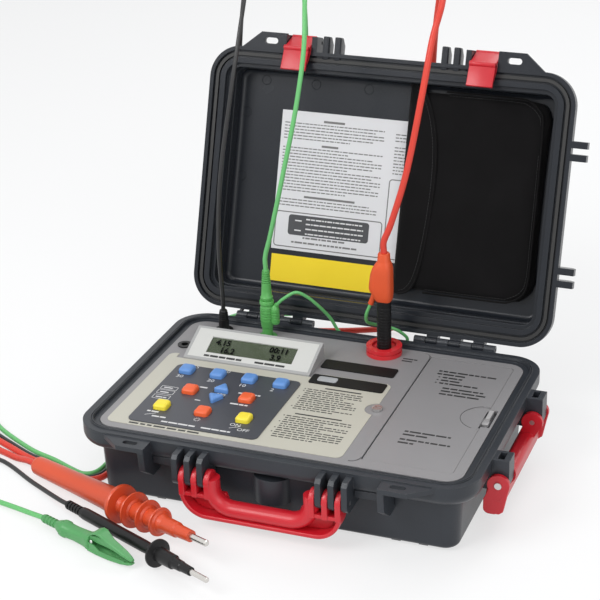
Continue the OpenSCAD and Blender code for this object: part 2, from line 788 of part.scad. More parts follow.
module plug_line() color("black") {
  translate([line_x, jack_y, 0]) difference() {
    translate([0, 0, panel_z - 12]) cylinder(h = boot_low - panel_z + 12, r = line_r);
    translate([0, 0, panel_z - 13]) cylinder(h = 10, r = 1.6);
  }
}

// Rubber boot on the line plug, wider on the side where the link cord enters
module boot_line() color("orangered") {
  h = boot_top - boot_low;
  translate([line_x, jack_y, boot_low]) {
    intersection() {
      union() {
        cylinder(h = h, r = 8.5);
        translate([-4, 0, 0]) cylinder(h = h * 0.72, r = 8);
      }
      translate([-2, 0, 0]) rotate_extrude() polygon([[0, 0], [9.6, 0], [11.4, 3], [11.4, h - 12], [9.5, h - 4], [8, h], [0, h]]);
    }
    translate([-6, 0, 10]) rotate([0, 180 + stub_turn, 0]) cylinder(h = stub_len, r = 3);
  }
}

module quarter_turn() color("lightgray") {
  translate([turn_x, turn_y, 0]) {
    difference() {
      translate([0, 0, panel_z + part_gap]) cylinder(h = 2.2, r = turn_r);
      translate([-5, -0.6, panel_z + 1.6]) cube([10, 1.2, 3]);
    }
    translate([0, 0, ledge_z - 8]) cylinder(h = panel_t + 8.5, r = turn_shank_r);
    xrod(-5, 5, 0, ledge_z - 2, 1.2);
  }
}

module front_handle_pins() color("silver") {
  both_x() xrod(fingers[0] - 2, ribs[2] + rib_t / 2 - 0.5, pivot_y, pivot_z, handle_pin_r);
}

module hinge_pins() color("silver") {
  both_x() xrod(hinge_x + 0.5, hinge_x + hinge_len - 0.5, axis_y, base_h, hinge_pin_r);
}

module side_handle_pins() color("silver") {
  for (s = [-1, 1]) {
    outer = s * (side_half + 0.2);
    inner = s * (side_half - 2 * cheek_t - 1 - bracket_w);
    yrod(min(outer, inner), max(outer, inner), side_pivot_x, side_pivot_z, handle_pin_r);
    yrod(min(outer, outer + s * 0.8), max(outer, outer + s * 0.8), side_pivot_x, side_pivot_z, handle_pin_r + 0.7);
  }
}

// Front carrying handle: interleaved fingers and a D-shaped grip
module front_handle() color("firebrick") {
  grip_z1 = pivot_z - 9;
  grip_z0 = grip_z1 - grip_h;
  bend = grip_h - 1;
  difference() {
    union() {
      both_x() for (x = fingers)
        xslab(x - rib_t / 2, x + rib_t / 2) {
          translate([pivot_y, pivot_z]) circle(finger_head_r);
          translate([pivot_y - finger_head_r, grip_z1 - 3]) square([2 * finger_head_r - 2, pivot_z - grip_z1 + 3]);
        }
      intersection() {
        yslab(pivot_y - 30, pivot_y + 30) union() {
          translate([-grip_half, grip_z0 + bend]) square([2 * grip_half, grip_h - bend]);
          translate([-grip_half + bend, grip_z0]) square([2 * (grip_half - bend), grip_h]);
          for (s = [-1, 1]) intersection() {
            translate([s * (grip_half - bend), grip_z0 + bend]) circle(bend);
            translate([-grip_half, grip_z0]) square([2 * grip_half, grip_h]);
          }
        }
        xslab(-grip_half, grip_half) translate([pivot_y, (grip_z0 + grip_z1) / 2]) rrect(grip_t, grip_h, 5);
      }
    }
    both_x() xrod(0, grip_half + 6, pivot_y, pivot_z, handle_pin_r + pin_fit);
    // groove along the grip, and the hollow under the fingers' bridge
    translate([-grip_half + 12, pivot_y - grip_t / 2 - 1, grip_z0 + 11]) cube([2 * grip_half - 24, 2, 1.4]);
    both_x() for (x = [fingers[0] + rib_t / 2, fingers[1] + rib_t / 2])
      block([x, pivot_y - 20, grip_z1 - 3.5], [x + rib_pitch - rib_t, pivot_y + 20, grip_z1 + 1]);
  }
}

// Side handle: two forked arms that lean towards the case, and a round-edged bar
module side_handle() color("firebrick") {
  z1 = side_pivot_z - 9;
  z0 = z1 - side_grip_h;
  xb = side_pivot_x - 11;
  reach = bracket_w + 1 + 2 * cheek_t;
  difference() {
    union() {
      for (y = [-side_half, -side_half + reach - cheek_t, side_half - reach, side_half - cheek_t])
        yslab(y, y + cheek_t) {
          translate([side_pivot_x, side_pivot_z]) circle(8.4);
          polygon([[side_pivot_x - 7.4, side_pivot_z - 4], [side_pivot_x + 8.3, side_pivot_z - 1],
            [xb + side_grip_t, z1 - 4], [xb, z1 - 4]]);
        }
      intersection() {
        yslab(-side_half, side_half) translate([xb + side_grip_t / 2, (z0 + z1) / 2]) rrect(side_grip_t, side_grip_h, 4.5);
        translate([0, 0, z0]) linear_extrude(side_grip_h) translate([xb + side_grip_t - 30, 0]) rrect(60, 2 * side_half, 6);
      }
    }
    for (s = [-1, 1])
      yrod(-side_half - 5, side_half + 5, side_pivot_x, side_pivot_z, handle_pin_r + pin_fit);
  }
}

// Latch in the shut lid's place, hanging plumb from its pivot
module latch_shut() {
  y0 = latch_y - latch_t;
  z1 = latch_up + 4;
  z0 = latch_up - latch_len;
  difference() {
    union() {
      xslab(-latch_w / 2, latch_w / 2) union() {
        polygon([[y0, z0 + 2], [y0, z1 - 2], [y0 + 1.5, z1], [latch_y, z1], [latch_y, z0 + 4],
          [latch_y + 8.5, z0 + 4], [latch_y + 9.2, z0 + 2.5], [latch_y + 7, z0], [y0 + 2, z0]]);
        translate([latch_y, latch_up]) circle(3.6);
        translate([y0, z0 + 2]) circle(2);
        translate([y0 + 0.4, z1 - 7]) circle(1.6);
      }
    }
    xrod(-latch_w, latch_w, latch_y, latch_up, latch_pin_r + pin_fit);
    block([-latch_w / 2 + 3.5, latch_y + 0.01, latch_up - 4], [latch_w / 2 - 3.5, latch_y + 5, latch_up + 5]);
  }
}

module latch(side) color("red") {
  open_lid() translate([side * latch_x, 0, 0])
    translate([0, latch_y, latch_up]) rotate([latch_lean, 0, 0]) translate([0, -latch_y, -latch_up]) latch_shut();
}

module latch_pins() color("silver") {
  open_lid() both_x() xrod(bay_x0 - 3.5, bay_x1 + 3.5, latch_y, latch_up, latch_pin_r);
}

// Outline of the lid's wall, rim and edge, seen with the lid shut
module lid_outline() {
  difference() {
    union() {
      translate([0, rim_gap]) square([flange_r, flange_h - flange_r]);
      translate([flange_r, rim_gap]) square([lid_wall_in + wall - flange_r, flange_h - rim_gap]);
      intersection() {
        translate([flange_r, flange_h - flange_r]) circle(flange_r);
        translate([0, rim_gap]) square([20, flange_h]);
      }
      polygon([[lid_wall_in, flange_h - 1], [lid_wall_in + lid_draft, lid_h - lid_edge_r],
        [lid_wall_in + lid_draft + 5, lid_h - lid_edge_r], [lid_wall_in + 5, flange_h - 1]]);
      translate([lid_wall_in + lid_draft + lid_edge_r, lid_h - lid_edge_r]) circle(lid_edge_r);
      translate([lid_wall_in + lid_draft + lid_edge_r, lid_floor - 1]) square([3.5, lid_h - lid_floor + 1]);
    }
    translate([groove_in, 0]) square([groove_w, groove_h + rim_gap]);
    translate([lid_wall_in - 0.3, 0]) square([20, 5]);
    polygon([[lid_wall_in + wall, 4], [lid_wall_in + wall + 1.4, lid_floor - 4], [lid_wall_in + 14, lid_floor - 4],
      [lid_wall_in + 14, 4]]);
    translate([lid_wall_in + wall + 5.4, lid_floor - 4]) circle(4);
    translate([lid_wall_in + wall + 5.4, lid_floor - 5]) square([8, 5]);
  }
}

// Rib of the lid's front side, lower ones rounded, tall ones with a head at the latch pin
module lid_rib(x, t, tall) {
  xslab(x - t / 2, x + t / 2) difference() {
    if (tall) {
      polygon([[-hy + 3, rim_gap], [reach_y + 1, rim_gap], [reach_y + 1, latch_up], [latch_y, latch_up + 4.5],
        [-hy + flange_r, flange_h - 0.5]]);
      translate([latch_y, latch_up]) circle(4.5);
    } else {
      polygon([[-hy + 3, rim_gap], [reach_y, rim_gap], [reach_y, 6], [reach_y + 6, 12.5], [-hy + 5, 13]]);
    }
    translate([latch_y, latch_up]) circle(latch_pin_r + seat_fit);
  }
}

module lid_shell() color("khaki") {
  open_lid() {
    around(case_w, case_d, corner_r) from_corner(corner_r) lid_outline();
    floor_in = lid_wall_in + lid_draft + lid_edge_r + 1;
    zslab(lid_floor, lid_h) rrect(case_w - 2 * floor_in, case_d - 2 * floor_in, corner_r - floor_in);
    both_x() {
      for (i = [0, 1]) lid_rib(ribs[i], rib_t, false);
      lid_rib(ribs[2], rib_t, true);
      lid_rib(bay_x1 + bay_wall / 2, bay_wall, true);
      zslab(rim_gap, rim_gap + padlock_t) padlock_outline();
      knuckles(1, 1, 0.6);
    }
    for (s = [-1, 1], o = [-5.2, 5.2])
      yslab(s * (side_half - cheek_t - 0.5 - bracket_w / 2) + o - 2.75, s * (side_half - cheek_t - 0.5 - bracket_w / 2) + o + 2.75)
        polygon([[hx - 2, rim_gap], [side_pivot_x + 7, rim_gap], [side_pivot_x + 7, 8], [side_pivot_x + 3, 13], [hx - 3, 13]]);
  }
}

module lid_seal() color("black") {
  open_lid() around(case_w, case_d, corner_r) from_corner(corner_r)
    translate([groove_in + 1.6, 1.4]) square([2.8, groove_h + rim_gap - 1.4]);
}

card_w = 112.6;
card_d = 120;
card_x = -hx + 58;
card_y = -hy + 50.5;
sheet_t = 0.4;
pouch_w = 120;
pouch_x = hx - lid_wall_in - 10.5 - pouch_w;
pouch_y = -hy + 23.5;
pouch_d = case_d - 54;
pouch_t = 11;

module card() color("white") {
  open_lid() block([card_x, card_y, lid_floor - sheet_t], [card_x + card_w, card_y + card_d, lid_floor]);
}

module sticker() color("yellow") {
  open_lid() block([card_x + 1.2, card_y + card_d + 4.5, lid_floor - sheet_t],
    [card_x + 97, card_y + card_d + 28, lid_floor]);
}

// Soft pouch held to the lid's floor
module pouch() color("dimgray") {
  open_lid() translate([pouch_x + pouch_w / 2, pouch_y + pouch_d / 2, lid_floor - pouch_t]) intersection() {
    linear_extrude(pouch_t) rrect(pouch_w, pouch_d, 12);
    union() {
      translate([0, 0, 4]) linear_extrude(pouch_t) square([pouch_w + 2, pouch_d + 2], center = true);
      linear_extrude(pouch_t) rrect(pouch_w - 12, pouch_d - 12, 8);
    }
  }
}

// Probes and clip lie on the table at the ends of the leads
red_at = [-204.7, -87.3, 8.2];
red_turn = -25;
red_lean = 4.1;
black_at = [-156, -129.2, 4.9];
black_turn = -27.1;
black_lean = 3.3;
clip_at = [-163.1, -154.5, 6];
clip_turn = -20.6;

module lay(at, turn, lean) {
  translate(at) rotate([0, 90 - lean, turn]) children();
}

// Outline of one guard shed at distance s along the probe
module shed(s, r) {
  polygon([[5, s - 3.4], [7.6, s - 3.2], [9, s - 2.2], [r - 0.8, s - 1], [r, s - 0.2], [r - 0.3, s + 0.7],
    [9, s + 0.9], [7.6, s + 2], [5, s + 2.2]]);
}

module probe_red() color("red") {
  lay(red_at, red_turn, red_lean) rotate_extrude() {
    polygon([[0, 0], [4.6, 0], [6.4, 0.9], [7.4, 3.2], [7.6, 8], [8.4, 50], [9.6, 88], [10.4, 100], [10.4, 102.2],
      [9.2, 102.6], [9.2, 103.6], [13, 103.8], [15, 104.6], [15.4, 106.4], [14.9, 108], [7.8, 109], [7, 112],
      [7, 154.6], [6.2, 158], [5.9, 171], [5, 171.8], [4.5, 186.4], [0, 186.4]]);
    shed(122.2, 14.2);
    shed(137.7, 12.8);
    shed(151.6, 11.2);
  }
}

module probe_black() color("black") {
  lay(black_at, black_turn, black_lean) rotate_extrude() {
    polygon([[0, 0], [2.9, 0], [3.1, 18.4], [4.3, 19.6], [4.7, 24], [4.7, 96], [4.4, 103], [5.2, 107.4], [10.8, 110.4],
      [10.8, 112], [5.8, 113.2], [5.5, 130], [4.3, 131.4], [4, 139], [3.6, 140.4], [3.3, 149.6], [0, 149.6]]);
    for (i = [0:4]) translate([2.4, 1.6 + 3.4 * i]) square([1.3, 2]);
  }
}

module probe_tips() color("silver") {
  lay(red_at, red_turn, red_lean) translate([0, 0, 186.4])
    rotate_extrude() polygon([[0, 0], [2.5, 0], [2.5, 16.4], [1.9, 17.4], [0, 17.8]]);
  lay(black_at, black_turn, black_lean) translate([0, 0, 149.6])
    rotate_extrude() polygon([[0, 0], [2.1, 0], [2.1, 17.4], [1.5, 18.3], [0, 18.6]]);
}

// Crocodile clip: insulated sleeve, lower jaw and sprung upper jaw
module on_clip() {
  translate(clip_at) rotate([0, 0, clip_turn]) children();
}

jaw_pivot = [58, 4.5];

module clip_frame() color("green") {
  on_clip() {
    rotate([0, 90, 0]) rotate_extrude() {
      polygon([[0, 0], [2.7, 0], [3, 14.6], [3.8, 16], [5.6, 24.6], [6, 25], [6, 27.6], [5, 28], [0, 28]]);
      for (i = [0:3]) translate([2.2, 1.6 + 3.4 * i]) square([1.4, 2]);
    }
    difference() {
      union() {
        yslab(-5.6, 5.6) polygon([[27, -5.2], [28, -5.6], [49, -5.9], [51, -5.2], [51, 6.4], [49, 7.2], [28, 5.6], [27, 5]]);
        yslab(-5.6, 5.6) polygon([[50, -5.2], [62, -5.4], [86, -4.6], [96.2, -2.2], [96.2, -0.9], [64, -0.9], [60, 3], [50, 3]]);
        yslab(-5.6, 5.6) {
          translate(jaw_pivot) circle(3);
          translate([jaw_pivot[0] - 3, -3]) square([6, 7]);
        }
      }
      yslab(-3.4, 3.4) polygon([[42, 12], [42, 1], [48, -2], [62, -3.4], [84, -3.2], [90, 12]]);
      for (i = [0:6]) translate([70 + 3 * i, 0, -0.6]) rotate([90, 0, 0]) cylinder(h = 12, r = 0.9, center = true);
    }
    yrod(-5.8, 5.8, jaw_pivot[0], jaw_pivot[1], 1);
  }
}

module clip_jaw() color("darkgreen") {
  on_clip() difference() {
    yslab(-3, 3) {
      polygon([[jaw_pivot[0] - 1, 2.6], [96, 0], [96.2, 1.4], [82, 5.8], [71, 8.4], [72.6, 13.6], [71, 15.2], [60, 13.8],
        [51.6, 9.6], [51, 8], [52.6, 6.4]]);
      translate(jaw_pivot) circle(2.6);
    }
    yrod(-6, 6, jaw_pivot[0], jaw_pivot[1], 1 + pin_fit);
    for (i = [0:6]) translate([71.5 + 3 * i, 0, -0.7 + 1.9 * (1 - i / 6)]) rotate([90, 0, 0]) cylinder(h = 12, r = 0.8, center = true);
  }
}

// Smooth curve through points: position at parameter t of segment i
function at(P, i) = P[max(0, min(len(P) - 1, i))];
function curve(P, i, t) =
  let (a = i == 0 ? 2 * P[0] - P[1] : P[i - 1], b = P[i], c = P[i + 1],
    d = i + 2 < len(P) ? P[i + 2] : 2 * P[i + 1] - P[i])
  0.5 * (2 * b + (c - a) * t + (2 * a - 5 * b + 4 * c - d) * t * t + (3 * b - a - 3 * c + d) * t * t * t);
function path(P, n) = [for (i = [0:len(P) - 2], k = [0:n - 1]) curve(P, i, k / n), P[len(P) - 1]];
function unit(v) = v / norm(v);
function tangents(Q) = [for (i = [0:len(Q) - 1]) unit(at(Q, i + 1) - at(Q, i - 1))];
function carried(T, i, n) =
  i == len(T) ? [] : let (m = unit(n - (n * T[i]) * T[i])) concat([m], carried(T, i + 1, m));

// Tube of diameter d along points P, n rings to a point and s sides
module tube(P, d, n = 2, s = 8) {
  Q = path(P, n);
  T = tangents(Q);
  N = carried(T, 0, [1, 0.1, 0.05]);
  rings = [for (i = [0:len(Q) - 1], k = [0:s - 1])
    let (a = 360 * k / s) Q[i] + d / 2 * (cos(a) * N[i] + sin(a) * cross(T[i], N[i]))];
  m = len(Q);
  polyhedron(rings, concat(
    [[for (k = [0:s - 1]) k]],
    [for (i = [0:m - 2], k = [0:s - 1]) let (a = i * s + k, b = i * s + (k + 1) % s) [a, a + s, b + s, b]],
    [[for (k = [s - 1:-1:0]) (m - 1) * s + k]]));
}
function along(at, turn, lean, s) =
  at + s * [cos(lean) * cos(turn), cos(lean) * sin(turn), sin(lean)];

black_path = concat([[guard_x, jack_y, black_top], [guard_x, jack_y, black_top + 12]], [
  [-116, 87, 136], [-113, 90, 200], [-105, 105, 278], [-104, 121, 315], [-107, 141, 338],
  [-121, 180, 351], [-138, 216, 325], [-147, 226, 285], [-152, 230, 230], [-152, 234, 150],
  [-153, 237, 80], [-154, 238, 40], [-157, 236, 16], [-162, 229, 5], [-166, 215, 2.2],
  [-168.5, 190, 1.9], [-168.5, 140, 1.9], [-166, 60, 1.9], [-158, 0, 1.9], [-154, -40, 1.9],
  [-153.5, -66, 1.9], [-157, -78.5, 1.9], [-168, -84.5, 1.9], [-182, -80, 1.9], [-200, -72, 1.9],
  [-222, -65, 1.9], [-244, -54, 1.9], [-266, -42, 1.9], [-290, -26, 1.9], [-316, -16, 1.9],
  [-343, -30, 1.9], [-350, -64, 1.9], [-330, -92, 1.9], [-298, -98, 1.9], [-270, -90, 1.9],
  [-244, -79.5, 1.9], [-200, -104, 2.1]],
  [along(black_at, black_turn, black_lean, -14), along(black_at, black_turn, black_lean, 0)]);

green_path = concat([[earth_x, jack_y, green_top], [earth_x, jack_y, green_top + 12]], [
  [-70, 88, 153], [-60, 91, 200], [-50, 100, 258], [-47, 113, 303], [-52, 131, 335], [-66, 172, 354],
  [-84, 214, 330], [-88, 228, 285], [-90, 232, 230], [-92, 236, 150], [-94, 240, 80], [-96, 243, 42],
  [-102, 246, 18], [-112, 248, 6], [-127, 248, 2.4], [-150, 244, 2.1], [-168, 230, 2.1],
  [-174, 206, 2.1], [-174, 140, 2.1], [-171, 60, 2.1], [-163, 0, 2.1], [-158.6, -40, 2.1],
  [-158, -64, 2.1], [-161, -75, 2.1], [-169, -79, 2.1], [-182, -74.5, 2.1], [-200, -66.5, 2.1],
  [-222, -59, 2.1], [-244, -47.5, 2.1], [-266, -34, 2.1], [-292, -14, 2.1], [-326, -2, 2.1],
  [-358, -24, 2.1], [-367, -68, 2.1], [-350, -106, 2.1], [-312, -126, 2.1], [-262, -132, 2.1],
  [-215, -138, 2.2]],
  [along(clip_at, clip_turn, 0, -14) - [0, 0, 1.5], along(clip_at, clip_turn, 0, 0)]);

red_path = concat([[line_x, jack_y, boot_top], [line_x, jack_y, boot_top + 10]], [
  [34, 88, 177], [46, 91, 222], [55, 103, 285], [58, 116, 320], [60, 135, 344], [50, 178, 359],
  [36, 214, 336], [27, 228, 290], [22, 236, 230], [18, 244, 150], [16, 249, 80], [12, 252, 42],
  [2, 252, 17], [-14, 248, 5.5], [-36, 240, 3], [-76, 225, 2.8], [-116, 216, 2.8], [-146, 206, 2.8],
  [-161, 186, 2.8], [-163, 140, 2.8], [-160.5, 60, 2.8], [-152.5, 0, 2.8], [-148.8, -40, 2.8],
  [-148.5, -68, 2.8], [-153, -83, 2.8], [-167, -90, 2.8], [-182, -85.5, 2.8], [-200, -78, 2.8],
  [-222, -70.5, 2.8], [-244, -60, 2.8], [-266, -49, 2.8], [-288, -34, 2.8], [-308, -30, 2.8],
  [-326, -42, 2.8], [-328, -62, 2.8], [-312, -76, 2.8], [-288, -75, 2.8], [-264, -64, 2.8],
  [-246, -68.6, 2.8], [-230, -75.3, 3.6]],
  [along(red_at, red_turn, red_lean, -12), along(red_at, red_turn, red_lean, 0)]);

branch_end = [earth_x, jack_y, green_low + 12] + branch_len * [sin(45), 0, cos(45)];
stub_end = [line_x - 6, jack_y, boot_low + 10] - stub_len * [sin(stub_turn), 0, cos(stub_turn)];
link_path = concat([branch_end, branch_end + 8 * [sin(45), 0, cos(45)]], [
  [-50, 90, 103], [-42, 95, 98], [-34, 101, 88], [-27, 110, 74], [-22, 115, 61], [-12, 118, 48], [8, 119, 43],
  [28, 118, 48], [39, 115, 61], [34, 109, 71], [26, 104, 76], [18, 99, 79], [12, 92, 84]],
  [stub_end - 11 * [sin(stub_turn), 0, cos(stub_turn)], stub_end]);

module lead_black() color("black") tube(black_path, black_d);
module lead_green() color("green") tube(green_path, green_d);
module lead_red() color("crimson") tube(red_path, red_d);
module link_cord() color("darkgreen") tube(link_path, link_d);

base_shell();
instrument_panel();
panel_label();
keypad_plate();
display_housing();
display_face();
lcd_module();
lcd_window();
main_board();
hv_module();
battery_pack();
blank_plate();
port_plate();
optical_port();
charger_socket();
jack(guard_x, "black");  // jack_guard
jack(earth_x, "green");  // jack_earth
jack_line();
accessory_tray();
front_handle_pins();
side_handle_pins();
hinge_pins();
lid_shell();
lid_seal();
card();
sticker();
pouch();
latch_pins();
latch(-1);  // latch_left
latch(1);  // latch_right
front_handle();
side_handle();
accessory_cover();
cover_latch();
quarter_turn();
color("royalblue") key(0);  // key_blue_1
color("royalblue") key(1);  // key_blue_2
color("royalblue") key(2);  // key_blue_3
color("royalblue") key(3);  // key_blue_4
color("orange") key(4);  // key_orange_left
color("orange") key(5);  // key_orange_right
color("orange") key(6);  // key_orange_front
color("white") key(9);  // key_up
color("white") key(10);  // key_down
color("gold") key(7);  // key_yellow_left
color("gold") key(8);  // key_yellow_right
plug_black();
adapter_green();
plug_green();
plug_line();
boot_line();
lead_black();
lead_green();
lead_red();
link_cord();
probe_red();
probe_black();
probe_tips();
clip_frame();
clip_jaw();
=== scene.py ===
import math
import random

import bmesh
import bpy
from mathutils import Matrix, Vector


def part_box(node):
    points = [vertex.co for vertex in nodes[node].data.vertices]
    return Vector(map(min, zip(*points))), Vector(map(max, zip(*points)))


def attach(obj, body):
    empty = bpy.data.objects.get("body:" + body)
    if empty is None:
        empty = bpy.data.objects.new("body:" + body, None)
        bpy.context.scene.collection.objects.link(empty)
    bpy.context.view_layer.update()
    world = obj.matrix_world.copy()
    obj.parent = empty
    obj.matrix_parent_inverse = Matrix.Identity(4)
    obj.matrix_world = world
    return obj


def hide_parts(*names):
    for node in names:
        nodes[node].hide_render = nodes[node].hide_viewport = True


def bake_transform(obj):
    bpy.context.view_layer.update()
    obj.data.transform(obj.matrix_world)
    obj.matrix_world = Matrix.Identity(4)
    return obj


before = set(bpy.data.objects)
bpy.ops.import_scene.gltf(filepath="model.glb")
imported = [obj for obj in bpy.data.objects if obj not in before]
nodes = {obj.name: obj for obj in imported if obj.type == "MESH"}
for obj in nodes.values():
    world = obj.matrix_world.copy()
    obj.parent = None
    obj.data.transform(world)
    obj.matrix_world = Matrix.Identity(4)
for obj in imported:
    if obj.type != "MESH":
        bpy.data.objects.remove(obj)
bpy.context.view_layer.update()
MM = 0.001


# Object helpers
def shown(name, data):
    """A new object in the scene."""
    piece = bpy.data.objects.new(name, data)
    bpy.context.scene.collection.objects.link(piece)
    return piece


def mesh_from(name, bm):
    mesh = bpy.data.meshes.new(name)
    bm.to_mesh(mesh)
    bm.free()
    return mesh


def finished_mesh(piece):
    """A mesh of what an object's curve, text or modifiers make."""
    return bpy.data.meshes.new_from_object(piece.evaluated_get(bpy.context.evaluated_depsgraph_get()))


def keep(name, bm, material, body, smooth=40, place=Matrix.Identity(4)):
    """Brings a shape drawn in millimetres to its place in metres, as a piece that rides on a body."""
    bm.transform(Matrix.Scale(MM, 4) @ place)
    mesh = mesh_from(name, bm)
    piece = shown(name, mesh)
    mesh.materials.append(material)
    if smooth:
        mesh.shade_smooth()
        mesh.set_sharp_from_angle(angle=math.radians(smooth))
    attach(piece, body)
    return piece


def turn(degrees, axis):
    return Matrix.Rotation(math.radians(degrees), 4, axis)


# Camera at the photograph's view: place in metres, turns in degrees, lens in the photograph's pixels
CAMERA_AT = (0.445645, -1.18603, 0.71937)
YAW, PITCH, ROLL = 21.079, 24.481, -1.372
FOCAL_PIXELS, PHOTO_WIDTH, SENSOR_WIDTH = 1817.51, 600, 36


def place_camera():
    data = bpy.data.cameras.new("view")
    data.sensor_width = SENSOR_WIDTH
    data.lens = SENSOR_WIDTH * FOCAL_PIXELS / PHOTO_WIDTH
    data.clip_end = 20
    camera = shown("view", data)
    place = Matrix.Translation(CAMERA_AT)
    for angle, axis in ((YAW, "Z"), (90 - PITCH, "X"), (ROLL, "Z")):
        place = place @ turn(angle, axis)
    camera.matrix_world = place
    bpy.context.scene.camera = camera


place_camera()

# Places in millimetres: the opened lid drawn shut, the lid's floor seen from inside, the sloping display
HINGE = Vector((0, 116.4, 62.5))
LID_DEPTH = 30
OPEN = Matrix.Translation(HINGE) @ turn(-108.35, "X") @ Matrix.Translation((0, -HINGE.y, 0))
LID = OPEN @ Matrix.Translation((0, 0, LID_DEPTH)) @ turn(180, "X")
DISPLAY = Matrix.Translation((-125.3, 26.4, 62.5)) @ turn(20.8, "X")


# Lead routes, the same points in millimetres as in the part's source
def toward(start, heading, lean, distance):
    """The point at a distance from start, on a heading on the table and a lean up from it in degrees."""
    a, b = math.radians(heading), math.radians(lean)
    step = Vector((math.cos(b) * math.cos(a), math.cos(b) * math.sin(a), math.sin(b)))
    return Vector(start) + distance * step


def route(points, steps=7):
    """A smooth curve through the points."""
    p = [Vector(q) for q in points]
    line = []
    for i in range(len(p) - 1):
        a = p[i - 1] if i else 2 * p[0] - p[1]
        b, c = p[i], p[i + 1]
        d = p[i + 2] if i + 2 < len(p) else 2 * p[i + 1] - p[i]
        for k in range(steps):
            t = k / steps
            line.append(0.5 * (2 * b + (c - a) * t + (2 * a - 5 * b + 4 * c - d) * t * t
                               + (3 * b - a - 3 * c + d) * t ** 3))
    return line + [p[-1]]


def at_height(z, *points):
    return [(x, y, z) for x, y in points]


GUARD, EARTH, LINE = (-114.2, 86.5), (-74.5, 86.5), (28.0, 86.5)
BLACK_AT, RED_AT, CLIP_AT = (-156, -129.2, 4.9), (-204.7, -87.3, 8.2), (-163.1, -154.5, 6)
BLACK_HEADING, RED_HEADING, CLIP_HEADING = -27.1, -25, -20.6
BLACK_LEAN, RED_LEAN = 3.3, 4.1

BLACK_ROUTE = [
    (*GUARD, 80), (*GUARD, 92),
    (-116, 87, 136), (-113, 90, 200), (-105, 105, 278), (-104, 121, 315), (-107, 141, 338), (-121, 180, 351),
    (-138, 216, 325), (-147, 226, 285), (-152, 230, 230), (-152, 234, 150), (-153, 237, 80), (-154, 238, 40),
    (-157, 236, 16), (-162, 229, 5), (-166, 215, 2.2),
    *at_height(1.9, (-168.5, 190), (-168.5, 140), (-166, 60), (-158, 0), (-154, -40), (-153.5, -66),
               (-157, -78.5), (-168, -84.5), (-182, -80), (-200, -72), (-222, -65), (-244, -54), (-266, -42),
               (-290, -26), (-316, -16), (-343, -30), (-350, -64), (-330, -92), (-298, -98), (-270, -90),
               (-244, -79.5)),
    (-200, -104, 2.1),
    toward(BLACK_AT, BLACK_HEADING, BLACK_LEAN, -14), BLACK_AT]
GREEN_ROUTE = [
    (*EARTH, 122), (*EARTH, 134),
    (-70, 88, 153), (-60, 91, 200), (-50, 100, 258), (-47, 113, 303), (-52, 131, 335), (-66, 172, 354),
    (-84, 214, 330), (-88, 228, 285), (-90, 232, 230), (-92, 236, 150), (-94, 240, 80), (-96, 243, 42),
    (-102, 246, 18), (-112, 248, 6), (-127, 248, 2.4),
    *at_height(2.1, (-150, 244), (-168, 230), (-174, 206), (-174, 140), (-171, 60), (-163, 0), (-158.6, -40),
               (-158, -64), (-161, -75), (-169, -79), (-182, -74.5), (-200, -66.5), (-222, -59),
               (-244, -47.5), (-266, -34), (-292, -14), (-326, -2), (-358, -24), (-367, -68), (-350, -106),
               (-312, -126), (-262, -132)),
    (-215, -138, 2.2),
    toward(CLIP_AT, CLIP_HEADING, 0, -14) - Vector((0, 0, 1.5)), CLIP_AT]
RED_ROUTE = [
    (*LINE, 150), (*LINE, 160),
    (34, 88, 177), (46, 91, 222), (55, 103, 285), (58, 116, 320), (60, 135, 344), (50, 178, 359),
    (36, 214, 336), (27, 228, 290), (22, 236, 230), (18, 244, 150), (16, 249, 80), (12, 252, 42), (2, 252, 17),
    (-14, 248, 5.5), (-36, 240, 3),
    *at_height(2.8, (-76, 225), (-116, 216), (-146, 206), (-161, 186), (-163, 140), (-160.5, 60), (-152.5, 0),
               (-148.8, -40), (-148.5, -68), (-153, -83), (-167, -90), (-182, -85.5), (-200, -78),
               (-222, -70.5), (-244, -60), (-266, -49), (-288, -34), (-308, -30), (-326, -42), (-328, -62),
               (-312, -76), (-288, -75), (-264, -64), (-246, -68.6)),
    (-230, -75.3, 3.6),
    toward(RED_AT, RED_HEADING, RED_LEAN, -12), RED_AT]
# where the thin link cord leaves the green adapter's branch and the boot's stub
BRANCH = Vector((math.sin(math.pi / 4), 0, math.cos(math.pi / 4)))
BRANCH_END = Vector((-74.5, 86.5, 82.5)) + 13 * BRANCH
STUB = Vector((math.sin(math.radians(20)), 0, math.cos(math.radians(20))))
STUB_END = Vector((22, 86.5, 118.6)) - 16 * STUB
LINK_ROUTE = [
    BRANCH_END, BRANCH_END + 8 * BRANCH,
    (-50, 90, 103), (-42, 95, 98), (-34, 101, 88), (-27, 110, 74), (-22, 115, 61), (-12, 118, 48), (8, 119, 43),
    (28, 118, 48), (39, 115, 61), (34, 109, 71), (26, 104, 76), (18, 99, 79), (12, 92, 84),
    STUB_END - 11 * STUB, STUB_END]


def lead(name, points, diameter, material, solid, bends_from=None):
    """A limp lead as a mesh tube along its route; if bends_from is given, its height is not used and the tube
    is left free, else it rides on the base.
    """
    line = [q * MM for q in route(points)]
    data = bpy.data.curves.new(name, "CURVE")
    data.dimensions = "3D"
    data.bevel_depth = diameter * MM / 2
    data.bevel_resolution = 3
    data.use_fill_caps = True
    spline = data.splines.new("POLY")
    spline.points.add(len(line) - 1)
    for point, q in zip(spline.points, line):
        point.co = (*q, 1)
    draft = shown(name + "_draft", data)
    mesh = finished_mesh(draft)
    bpy.data.objects.remove(draft)
    mesh.materials.clear()
    mesh.materials.append(material)
    mesh.shade_smooth()
    piece = shown(name, mesh)
    if bends_from:
        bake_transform(piece)
    else:
        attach(piece, "base")
    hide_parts(solid)


